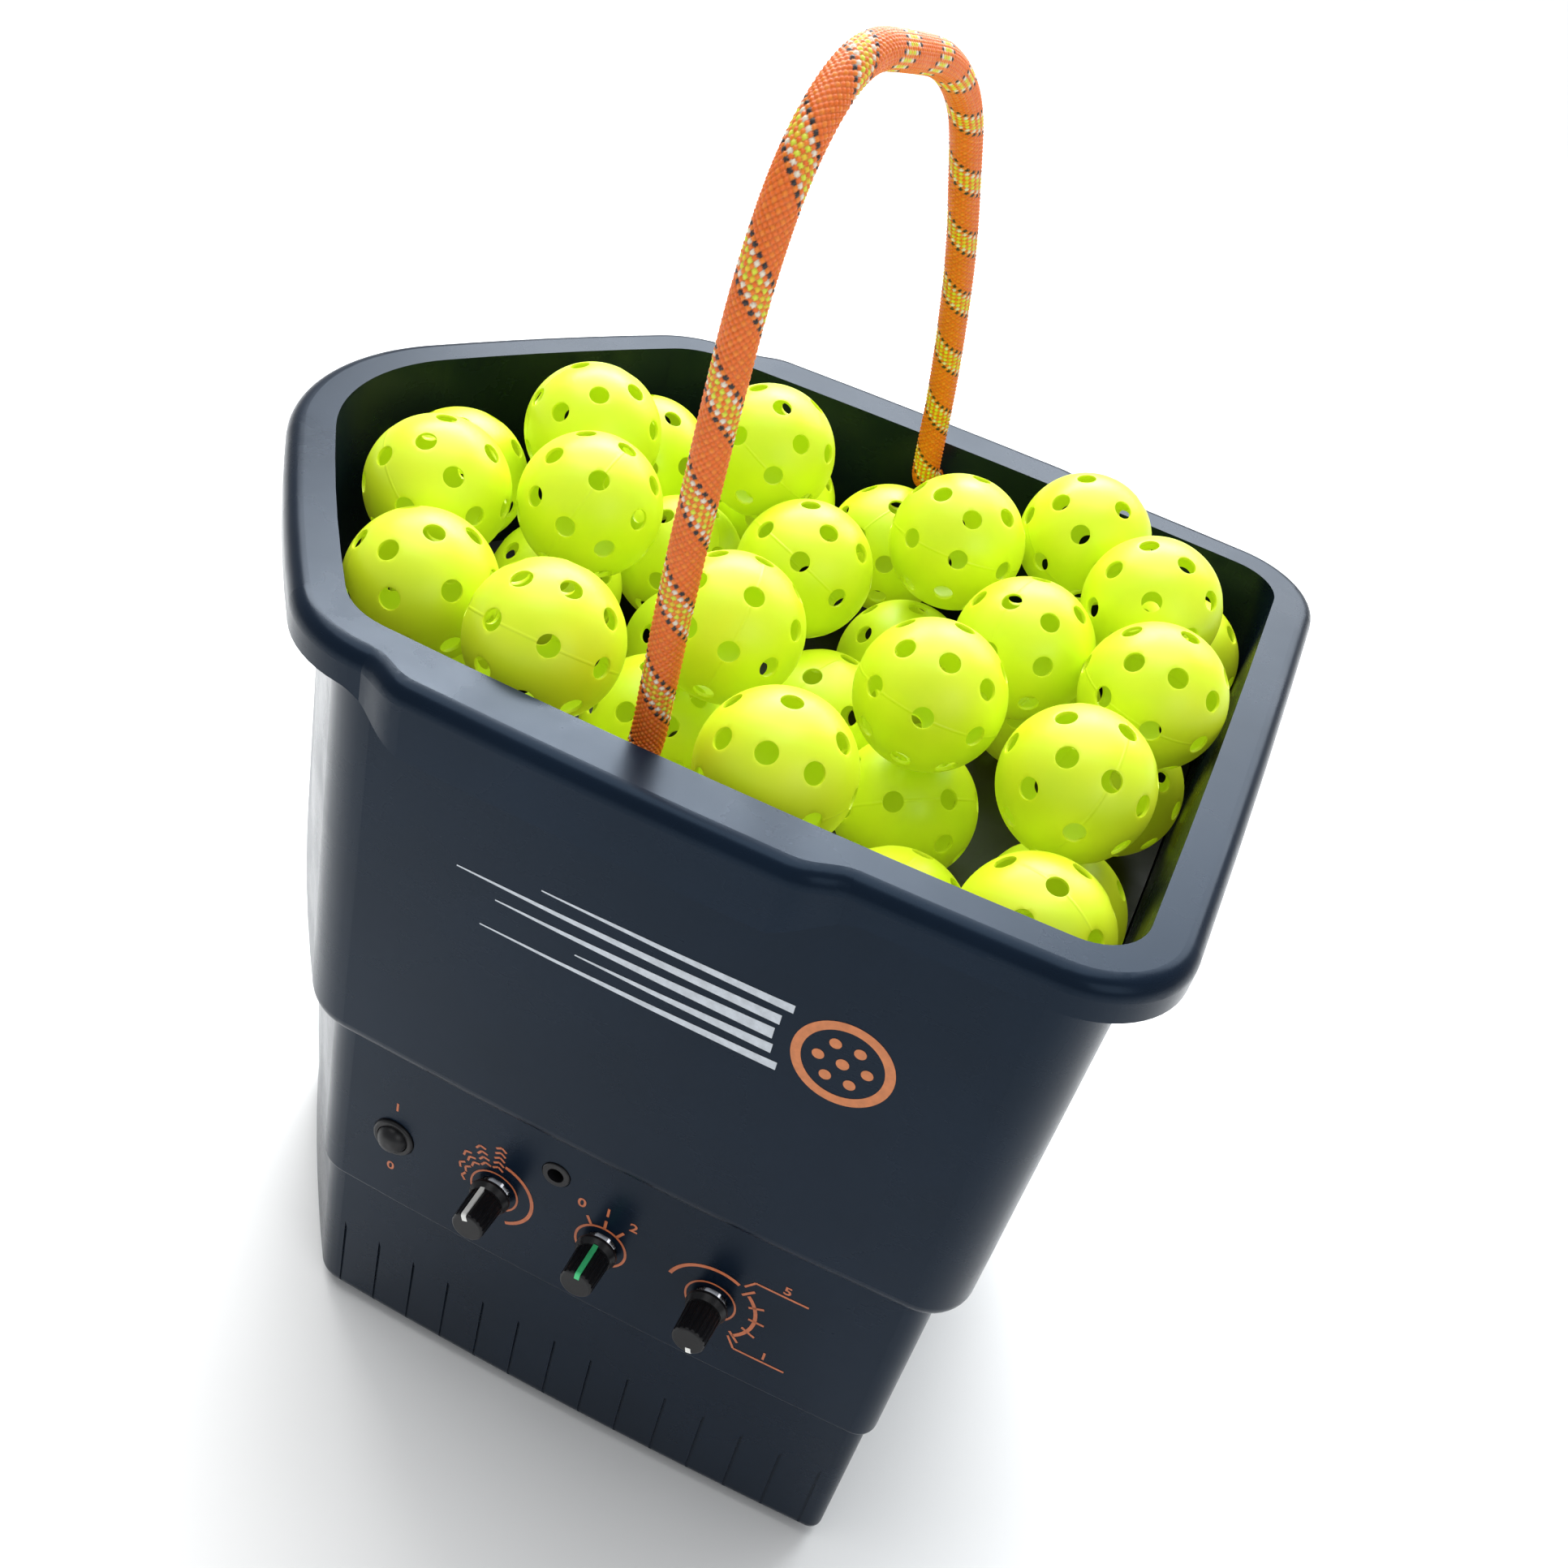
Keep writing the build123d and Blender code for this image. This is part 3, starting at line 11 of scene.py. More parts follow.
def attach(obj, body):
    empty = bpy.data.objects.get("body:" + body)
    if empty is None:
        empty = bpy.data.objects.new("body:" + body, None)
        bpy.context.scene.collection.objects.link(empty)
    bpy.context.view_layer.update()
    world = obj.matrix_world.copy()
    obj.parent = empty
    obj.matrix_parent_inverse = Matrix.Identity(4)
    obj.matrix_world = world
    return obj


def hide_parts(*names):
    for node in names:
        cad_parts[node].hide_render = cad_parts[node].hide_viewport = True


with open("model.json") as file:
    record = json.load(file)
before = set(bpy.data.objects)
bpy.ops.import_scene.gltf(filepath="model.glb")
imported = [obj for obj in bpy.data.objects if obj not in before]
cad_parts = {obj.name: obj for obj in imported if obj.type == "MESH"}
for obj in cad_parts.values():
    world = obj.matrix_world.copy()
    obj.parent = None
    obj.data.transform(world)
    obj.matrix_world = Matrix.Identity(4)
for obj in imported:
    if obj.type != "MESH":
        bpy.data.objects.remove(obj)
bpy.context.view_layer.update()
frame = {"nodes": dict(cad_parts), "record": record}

MM = 0.001
NODES = frame["nodes"]
RECORD = frame["record"]
SLOT_OF = {part["node"]: part["material_slot"] for part in RECORD["subparts"]}
scene = bpy.context.scene
scene.view_settings.view_transform = "Standard"


# ------------------------------------------------------------------ camera
AZIMUTH = radians(12.7224)
ELEVATION = radians(37.1663)
ROLL = radians(16.2598)
CAMERA_PLACE = (0.2042, -0.7376, 0.9499)
FOCAL_LENGTH = 39.86
SENSOR_WIDTH = 36
NEAREST_SEEN = 0.01
forward = Vector((-sin(AZIMUTH) * cos(ELEVATION), cos(AZIMUTH) * cos(ELEVATION), -sin(ELEVATION)))
level = Vector((cos(AZIMUTH), sin(AZIMUTH), 0))
upward = level.cross(forward)
camera_right = level * cos(ROLL) + upward * sin(ROLL)
camera_up = upward * cos(ROLL) - level * sin(ROLL)
camera_data = bpy.data.cameras.new("camera")
camera_data.sensor_width = SENSOR_WIDTH
camera_data.lens = FOCAL_LENGTH
camera_data.clip_start = NEAREST_SEEN
camera = bpy.data.objects.new("camera", camera_data)
turned = Matrix((camera_right, camera_up, -forward)).transposed().to_4x4()
camera.matrix_world = Matrix.Translation(CAMERA_PLACE) @ turned
scene.collection.objects.link(camera)
scene.camera = camera


def put(name, data, body="machine"):
    """A new piece, riding on one of the object's bodies, or on none if body is None."""
    piece = bpy.data.objects.new(name, data)
    scene.collection.objects.link(piece)
    if body:
        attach(piece, body)
    return piece


def mesh_of(name, points, faces, smooth=True):
    """A mesh from its points and faces."""
    data = bpy.data.meshes.new(name)
    data.from_pydata(points, [], faces)
    if smooth:
        data.shade_smooth()
    data.update()
    return data


# ------------------------------------------------------------------ rope handle
ROPE_RADIUS = 8 * MM
ROPE_TAIL = 10 * MM  # hidden rope outward of the two places below, up to its knots
ROPE_BEND_IN = 5.2 * MM  # straight rope inward of them
rope_start = Vector((12, -187.934, 487)) * MM
rope_finish = Vector((28, 188.096, 487)) * MM
rope_axis = (rope_finish - rope_start).normalized()
ROPE_ROUTE = [
    (12.5, -174.3, 492),
    (12.5, -168.7, 502.6),
    (12.5, -170.5, 530),
    (12.5, -173, 580),
    (12.5, -171, 645),
    (13, -168, 712),
    (14, -152, 758),
    (15, -112, 783),
    (18, -58, 773),
    (20, -8, 762),
    (22, 40, 735),
    (23, 72, 695),
    (25, 104, 650),
    (26, 132, 600),
    (27, 155, 549),
    (27.5, 165.5, 513),
    (27.8, 172.5, 494),
]
route = [rope_start - rope_axis * ROPE_TAIL, rope_start + rope_axis * ROPE_BEND_IN]
route += [Vector(point) * MM for point in ROPE_ROUTE]
route += [rope_finish - rope_axis * ROPE_BEND_IN, rope_finish + rope_axis * ROPE_TAIL]
line_data = bpy.data.curves.new("rope_line", "CURVE")
line_data.dimensions = "3D"
line_data.resolution_u = 24
rope_spline = line_data.splines.new("NURBS")
rope_spline.points.add(len(route) - 1)
for control, place in zip(rope_spline.points, route):
    control.co = (*place, 1)
rope_spline.order_u = 3
rope_spline.use_endpoint_u = True
rope_line = bpy.data.objects.new("rope_line", line_data)
line_mesh = bpy.data.meshes.new_from_object(rope_line)
line_points = [vertex.co.copy() for vertex in line_mesh.vertices]
bpy.data.objects.remove(rope_line)


TINY = 1e-9


def walk(points, step):
    """Places at equal steps along a line of points, and the line's length."""
    lengths = [0.0]
    for a, b in zip(points, points[1:]):
        lengths.append(lengths[-1] + (b - a).length)
    count = int(lengths[-1] / step)
    places = []
    index = 0
    for number in range(count + 1):
        along = lengths[-1] * number / count
        while index < len(points) - 2 and lengths[index + 1] < along:
            index += 1
        share = (along - lengths[index]) / max(lengths[index + 1] - lengths[index], TINY)
        places.append(points[index].lerp(points[index + 1], min(share, 1)))
    return places, lengths[-1]


STRANDS = 16
STRAND_PITCH = 45 * MM  # length of rope in one turn of a strand
STRAND_RELIEF = 1.0 * MM
YARN_RELIEF = 0.1  # share of a strand's height
YARNS = 3
# painted shade: how dark the rope's colour is made in the creases between strands
SHADE_BETWEEN_STRANDS = 0.72
TUBE_POINTS_AROUND = 112
ROPE_COLOURS = {
    "orange": (0.9, 0.165, 0.006),
    "orange_pale": (0.93, 0.235, 0.012),
    "black": (0.012, 0.012, 0.014),
    "white": (0.86, 0.78, 0.62),
    "yellow": (0.9, 0.62, 0.02),
    "lime": (0.74, 0.82, 0.04),
}
TRACERS = {0: "black", 1: "white", 2: "lime", 3: "yellow", 4: "lime", 5: "white", 6: "black"}


def braid(along, angle):
    """Height from 0 to 1 and colour of the braid at a place on the rope."""
    u = (angle / (2 * pi) + along / STRAND_PITCH) * STRANDS
    v = (angle / (2 * pi) - along / STRAND_PITCH) * STRANDS
    iu, iv = floor(u), floor(v)
    fu, fv = u - iu, v - iv
    if (iu + iv) % 2 == 0:
        across, along_cell, strand = fu, fv, iu % STRANDS
        name = TRACERS.get(strand, "orange")
    else:
        across, along_cell, strand = fv, fu, iv % STRANDS
        name = "orange_pale" if strand % 2 else "orange"
    crown = max(1 - (2 * across - 1) ** 2, 0) ** 0.5
    rise = sin(pi * min(max(along_cell, 0), 1)) ** 0.5
    yarns = 0.5 + 0.5 * cos(2 * YARNS * pi * across)
    return crown * rise * (1 - YARN_RELIEF + YARN_RELIEF * yarns), name


def rope_tube(name, points, step, around):
    """A braided tube along a line, with each strand's colour, darkened by painted shade between the
    strands, kept on its corners.
    """
    places, length = walk(points, step)
    vertices, colours = [], []
    side = Vector((1, 0, 0))
    for index, place in enumerate(places):
        before = places[max(index - 1, 0)]
        after = places[min(index + 1, len(places) - 1)]
        direction = (after - before).normalized()
        side = (side - direction * side.dot(direction)).normalized()
        other = direction.cross(side)
        along = index * step
        for number in range(around):
            angle = 2 * pi * number / around
            height, strand = braid(along, angle)
            radius = ROPE_RADIUS - (1 - height) * STRAND_RELIEF
            vertices.append(place + (side * cos(angle) + other * sin(angle)) * radius)
            # painted shade: each strand's colour is darkened where it dips between its neighbours
            shade = SHADE_BETWEEN_STRANDS + (1 - SHADE_BETWEEN_STRANDS) * height
            colours.append([channel * shade for channel in ROPE_COLOURS[strand]])
    faces = []
    for ring in range(len(places) - 1):
        for number in range(around):
            nearby = (number + 1) % around
            low, high = ring * around, (ring + 1) * around
            faces.append((low + number, low + nearby, high + nearby, high + number))
    faces.append(tuple(reversed(range(around))))
    last = (len(places) - 1) * around
    faces.append(tuple(range(last, last + around)))
    data = mesh_of(name, vertices, faces)
    layer = data.color_attributes.new("strand", "FLOAT_COLOR", "POINT")
    flat = [channel for colour in colours for channel in (*colour, 1)]
    layer.data.foreach_set("color", flat)
    return data, places, length


ROPE_STEP = 0.55 * MM
rope_step = ROPE_STEP
rope_data, rope_places, rope_length = rope_tube("rope_braid", line_points, rope_step, TUBE_POINTS_AROUND)
rope = put("rope_braid", rope_data, "handle")
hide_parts("rope_handle")


# ------------------------------------------------------------------ materials
class Paint:
    """A procedural material built round one principled shader."""

    def __init__(self, name, colour, rough=0.5, metal=0.0, **uniform):
        self.material = bpy.data.materials.new(name)
        self.material.use_nodes = True
        self.tree = self.material.node_tree
        self.shader = self.tree.nodes["Principled BSDF"]
        self.shader.inputs["Base Color"].default_value = (*colour, 1)
        self.shader.inputs["Roughness"].default_value = rough
        self.shader.inputs["Metallic"].default_value = metal
        for key, value in uniform.items():
            self.shader.inputs[key.replace("_", " ")].default_value = value
        self.where = self.node("ShaderNodeTexCoord").outputs["Object"]
        self.height = None

    def node(self, kind, **values):
        made = self.tree.nodes.new(kind)
        for key, value in values.items():
            setattr(made, key, value)
        return made

    def link(self, source, target):
        self.tree.links.new(source, target)

    def noise(self, scale, detail=3.0, stretch=(1, 1, 1), rough=0.55):
        place = self.node("ShaderNodeMapping")
        place.inputs["Scale"].default_value = stretch
        self.link(self.where, place.inputs["Vector"])
        made = self.node("ShaderNodeTexNoise")
        made.inputs["Scale"].default_value = scale
        made.inputs["Detail"].default_value = detail
        made.inputs["Roughness"].default_value = rough
        self.link(place.outputs["Vector"], made.inputs["Vector"])
        return made.outputs["Fac"]

    def ramp(self, source, low, high, start=0.0, end=1.0):
        made = self.node("ShaderNodeMapRange")
        made.inputs["From Min"].default_value = low
        made.inputs["From Max"].default_value = high
        made.inputs["To Min"].default_value = start
        made.inputs["To Max"].default_value = end
        self.link(source, made.inputs["Value"])
        return made.outputs["Result"]

    def maths(self, operation, first, second):
        made = self.node("ShaderNodeMath", operation=operation)
        for socket, value in zip(made.inputs, (first, second)):
            if isinstance(value, (int, float)):
                socket.default_value = value
            else:
                self.link(value, socket)
        return made.outputs["Value"]

    def colours(self, share, first, second):
        """Mixes the base colour from one colour to another by a share; either may be a socket."""
        made = self.node("ShaderNodeMix", data_type="RGBA")
        self.link(share, made.inputs["Factor"])
        for socket, value in ((made.inputs[6], first), (made.inputs[7], second)):
            if isinstance(value, tuple):
                socket.default_value = (*value, 1)
            else:
                self.link(value, socket)
        self.link(made.outputs[2], self.shader.inputs["Base Color"])
        return made.outputs[2]

    def roughness(self, source):
        self.link(source, self.shader.inputs["Roughness"])

    def bump(self, source, depth_mm, strength=1.0):
        made = self.node("ShaderNodeBump")
        made.inputs["Distance"].default_value = depth_mm * MM
        made.inputs["Strength"].default_value = strength
        self.link(source, made.inputs["Height"])
        if self.height is not None:
            self.link(self.height, made.inputs["Normal"])
        self.link(made.outputs["Normal"], self.shader.inputs["Normal"])
        self.height = made.outputs["Normal"]


def darker(colour, share):
    return tuple(channel * share for channel in colour)


def gloss_moulding(name, colour, rough, **uniform):
    """Injection-moulded glossy plastic: slow waves, dust and fine rubbing scratches."""
    paint = Paint(name, colour, rough, **uniform)
    paint.colours(paint.ramp(paint.noise(9, 4), 0.35, 0.7), darker(colour, 0.8), darker(colour, 1.2))
    scratches = paint.noise(34, 5, (1, 1, 5), 0.7)
    smears = paint.noise(14, 5)
    worn = paint.maths("MULTIPLY", paint.ramp(scratches, 0.5, 0.95), 0.05)
    smear = paint.ramp(smears, 0.35, 0.75, rough, rough + 0.12)
    paint.roughness(paint.maths("ADD", smear, worn))
    paint.bump(paint.noise(16, 2), 0.3, 0.3)
    paint.bump(paint.noise(900, 2), 0.012, 0.5)
    return paint


def matt_moulding(name, colour, rough=0.5, grain=1400, depth=0.04, **uniform):
    """Grained plastic or rubber."""
    paint = Paint(name, colour, rough, **uniform)
    paint.colours(paint.ramp(paint.noise(30, 4), 0.3, 0.7), darker(colour, 0.75), darker(colour, 1.3))
    paint.roughness(paint.ramp(paint.noise(45, 4), 0.3, 0.7, rough - 0.06, rough + 0.1))
    paint.bump(paint.noise(grain, 3), depth, 0.7)
    return paint


def metal_finish(name, colour, rough, stretch=(1, 1, 1), depth=0.015):
    """Turned, rolled or plated metal with fine tool lines and dull patches."""
    paint = Paint(name, colour, rough, 1.0)
    paint.colours(paint.ramp(paint.noise(60, 4), 0.3, 0.7), darker(colour, 0.85), colour)
    paint.roughness(paint.ramp(paint.noise(120, 4, stretch), 0.3, 0.7, rough - 0.05, rough + 0.12))
    paint.bump(paint.noise(700, 2, stretch), depth, 0.6)
    return paint


def navy_material():
    """The casing's plastic, whose faint shine is bluish."""
    navy = (0.0036, 0.0082, 0.0175)
    tint = (0.5, 0.72, 1.0, 1.0)
    return gloss_moulding("navy_plastic", navy, 0.23, Specular_IOR_Level=0.2, Specular_Tint=tint)


def rope_material():
    """Braided fibre, coloured by the strand colours and the painted shade between strands kept on the
    mesh.
    """
    paint = Paint("rope_braid", (0.9, 0.165, 0.006), 0.42, Specular_IOR_Level=0.45)
    # the strand attribute carries the strand colours with painted shade between strands
    strand = paint.node("ShaderNodeAttribute", attribute_name="strand")
    fibres = paint.ramp(paint.noise(900, 3), 0.4, 0.8, 0.0, 0.07)
    paint.colours(fibres, strand.outputs["Color"], (0.75, 0.62, 0.5))
    paint.bump(paint.noise(2600, 2), 0.06, 0.8)
    return paint


def ball_material():
    """Soft plastic with a painted glow, which stands in for light coming through the thin shell and
    brightening its shaded sides, and a moulding seam round the ball.
    """
    colour = (0.65, 0.82, 0.014)
    paint = Paint("ball_plastic", colour, 0.42, Subsurface_Weight=0.25, Subsurface_Scale=0.006)
    paint.shader.inputs["Subsurface Radius"].default_value = (0.9, 1.0, 0.2)
    # painted glow: a weak emission that brightens the balls' shaded sides and holes as light through the
    # shell would
    paint.shader.inputs["Emission Color"].default_value = (0.78, 0.88, 0.025, 1)
    paint.shader.inputs["Emission Strength"].default_value = 0.10
    paint.colours(paint.ramp(paint.noise(22, 4), 0.35, 0.72), (0.60, 0.80, 0.012), (0.70, 0.84, 0.018))
    paint.roughness(paint.ramp(paint.noise(55, 4), 0.3, 0.7, 0.34, 0.5))
    split = paint.node("ShaderNodeSeparateXYZ")
    paint.link(paint.where, split.inputs["Vector"])
    seam = paint.ramp(paint.maths("ABSOLUTE", split.outputs["Z"], 0), 0.0002, 0.0009, 1.0, 0.0)
    paint.bump(seam, 0.22, 0.8)
    paint.bump(paint.noise(500, 3), 0.03, 0.5)
    return paint


def ink_material(name, colour, rough=0.45, metal=0.0):
    """Printed ink or foil, a little uneven."""
    paint = Paint(name, colour, rough, metal)
    paint.colours(paint.ramp(paint.noise(260, 5), 0.3, 0.75), darker(colour, 0.82), darker(colour, 1.08))
    paint.roughness(paint.ramp(paint.noise(90, 4), 0.3, 0.7, rough - 0.08, rough + 0.1))
    paint.bump(paint.noise(1500, 2), 0.01, 0.6)
    return paint


def webbing_material():
    """Woven strap."""
    paint = Paint("strap_webbing", (0.02, 0.02, 0.02), 0.8)
    weave = paint.node("ShaderNodeTexWave", bands_direction="X")
    weave.inputs["Scale"].default_value = 300
    paint.link(paint.where, weave.inputs["Vector"])
    paint.colours(weave.outputs["Fac"], (0.012, 0.012, 0.012), (0.04, 0.04, 0.04))
    paint.bump(weave.outputs["Fac"], 0.3)
    return paint


FINISHES = {
    "navy_plastic": navy_material(),
    "dark_plastic": matt_moulding("dark_plastic", (0.02, 0.021, 0.024), 0.42),
    "black_knob_plastic": matt_moulding(
        "black_knob_plastic", (0.008, 0.008, 0.009), 0.3, 1800, 0.015, Specular_IOR_Level=0.28
    ),
    "dial_white": matt_moulding("dial_white", (0.82, 0.82, 0.78), 0.4),
    "dial_green": matt_moulding("dial_green", (0.05, 0.55, 0.2), 0.4),
    "black_rubber": matt_moulding("black_rubber", (0.015, 0.015, 0.015), 0.7, 900, 0.08),
    "wheel_rubber": matt_moulding("wheel_rubber", (0.03, 0.03, 0.032), 0.62, 700, 0.1),
    "zinc_screws": metal_finish("zinc_screws", (0.6, 0.61, 0.63), 0.32),
    "plate_aluminium": metal_finish("plate_aluminium", (0.75, 0.76, 0.78), 0.36, (1, 14, 1)),
    "motor_steel": metal_finish("motor_steel", (0.5, 0.51, 0.53), 0.34, (1, 1, 16)),
    "shaft_steel": metal_finish("shaft_steel", (0.62, 0.62, 0.64), 0.25, (1, 1, 20)),
    "stem_brass": metal_finish("stem_brass", (0.78, 0.58, 0.28), 0.28, (1, 12, 1)),
    "control_cans": metal_finish("control_cans", (0.55, 0.56, 0.57), 0.38),
    "nut_chrome": metal_finish("nut_chrome", (0.78, 0.79, 0.82), 0.14, (1, 8, 1), 0.006),
    "button_black": matt_moulding(
        "button_black", (0.007, 0.007, 0.008), 0.36, 2200, 0.01, Specular_IOR_Level=0.35
    ),
    "battery_case": matt_moulding("battery_case", (0.03, 0.033, 0.037), 0.45),
    "strap_webbing": webbing_material(),
    "board_green": matt_moulding("board_green", (0.02, 0.16, 0.07), 0.3, 1200, 0.02),
    "ball_yellow": ball_material(),
    "rope_orange": matt_moulding("rope_knot", (0.8, 0.17, 0.03), 0.7, 1500, 0.2),
}
for node_name, cad_piece in NODES.items():
    finish_paint = FINISHES[SLOT_OF[node_name]].material
    cad_piece.data.materials.clear()
    cad_piece.data.materials.append(finish_paint)
rope.data.materials.append(rope_material().material)


# ------------------------------------------------------------------ balls
BALL_RADIUS = 37 * MM
BALL_WALL = 1.6 * MM
BALL_HOLE = 5.25 * MM  # radius
HOLE_CUT_DEPTH = 10 * MM
HOLE_SIDES = 36
HOLE_EDGE = 0.35 * MM
HOLE_EDGE_ANGLE = radians(40)
SAME_PLACE = 5 * MM  # centres nearer than this belong to one ball


def ball_centres():
    """Middle of every ball in the ball node's mesh, in a steady order."""
    data = NODES["loose_balls"].data
    leader = list(range(len(data.vertices)))

    def find(index):
        while leader[index] != index:
            leader[index] = leader[leader[index]]
            index = leader[index]
        return index

    for edge in data.edges:
        first, second = (find(index) for index in edge.vertices)
        leader[first] = second
    groups = {}
    for vertex in data.vertices:
        groups.setdefault(find(vertex.index), []).append(vertex.co)
    centres = []
    for group in groups.values():
        low = Vector([min(point[axis] for point in group) for axis in range(3)])
        high = Vector([max(point[axis] for point in group) for axis in range(3)])
        middle = (low + high) / 2
        if all((middle - other).length > SAME_PLACE for other in centres):
            centres.append(middle)
    return sorted(centres, key=lambda place: (round(place.z, 3), round(place.x, 3), place.y))


def perforated_ball():
    """A hollow ball with a round hole through it in each of 26 directions."""
    shell = bmesh.new()
    bmesh.ops.create_icosphere(shell, subdivisions=5, radius=BALL_RADIUS)
    inner = bmesh.new()
    bmesh.ops.create_icosphere(inner, subdivisions=4, radius=BALL_RADIUS - BALL_WALL)
    bmesh.ops.reverse_faces(inner, faces=inner.faces)
    inner_data = bpy.data.meshes.new("inner")
    inner.to_mesh(inner_data)
    shell.from_mesh(inner_data)
    shell_data = bpy.data.meshes.new("perforated_ball")
    shell.to_mesh(shell_data)
    cutter = bmesh.new()
    span = (-1, 0, 1)
    for x in span:
        for y in span:
            for z in span:
                if (x, y, z) == (0, 0, 0):
                    continue
                direction = Vector((x, y, z)).normalized()
                turn = Vector((0, 0, 1)).rotation_difference(direction).to_matrix().to_4x4()
                place = Matrix.Translation(direction * BALL_RADIUS) @ turn
                bmesh.ops.create_cone(
                    cutter,
                    cap_ends=True,
                    segments=HOLE_SIDES,
                    radius1=BALL_HOLE,
                    radius2=BALL_HOLE,
                    depth=HOLE_CUT_DEPTH,
                    matrix=place,
                )
    cutter_data = bpy.data.meshes.new("cutter")
    cutter.to_mesh(cutter_data)
    ball = bpy.data.objects.new("ball_blank", shell_data)
    tool = bpy.data.objects.new("ball_tool", cutter_data)
    scene.collection.objects.link(ball)
    scene.collection.objects.link(tool)
    cut = ball.modifiers.new("holes", "BOOLEAN")
    cut.operation = "DIFFERENCE"
    cut.solver = "EXACT"
    cut.object = tool
    rounded = ball.modifiers.new("rounded", "BEVEL")
    rounded.width = HOLE_EDGE
    rounded.segments = 2
    rounded.limit_method = "ANGLE"
    rounded.angle_limit = HOLE_EDGE_ANGLE
    bpy.context.view_layer.update()
    depsgraph = bpy.context.evaluated_depsgraph_get()
    done = bpy.data.meshes.new_from_object(ball.evaluated_get(depsgraph))
    bpy.data.objects.remove(ball)
    bpy.data.objects.remove(tool)
    done.name = "perforated_ball"
    done.shade_smooth()
    return done


ball_data = perforated_ball()
ball_data.materials.clear()
ball_data.materials.append(FINISHES["ball_yellow"].material)
dice = random.Random(12)
for number, centre in enumerate(ball_centres()):
    ball = bpy.data.objects.new(f"ball_{number + 1:02d}", ball_data)
    axis = Vector((dice.gauss(0, 1), dice.gauss(0, 1), dice.gauss(0, 1))).normalized()
    turn = Matrix.Rotation(dice.uniform(0, 2 * pi), 4, axis)
    ball.matrix_world = Matrix.Translation(centre) @ turn
    scene.collection.objects.link(ball)
    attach(ball, "machine")
    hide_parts("loose_balls")


# ------------------------------------------------------------------ printing on the walls
RAY_START_Y = -0.4
PRINT_LIFT = 0.18 * MM


def front_of(node):
    """A function that gives a place on a CAD node's front face, a hair in front of it."""
    data = NODES[node].data
    tree = BVHTree.FromPolygons([v.co for v in data.vertices], [p.vertices for p in data.polygons])

    def place(x, z):
        hit, _, _, _ = tree.ray_cast(Vector((x, RAY_START_Y, z)), Vector((0, 1, 0)))
        return hit + Vector((0, -PRINT_LIFT, 0))

    return place


DISC_SIDES = 20
BAR_STEP = 4  # longest face along a bar, in millimetres
ARC_STEP = 6  # widest face round an arc, in degrees
ARROW_SPREAD = 125
CAPITAL_HEIGHT = 0.7  # share of a font's size
LETTER_STRETCH = 1.12
LETTER_BOLDNESS = 0.03  # share of their height


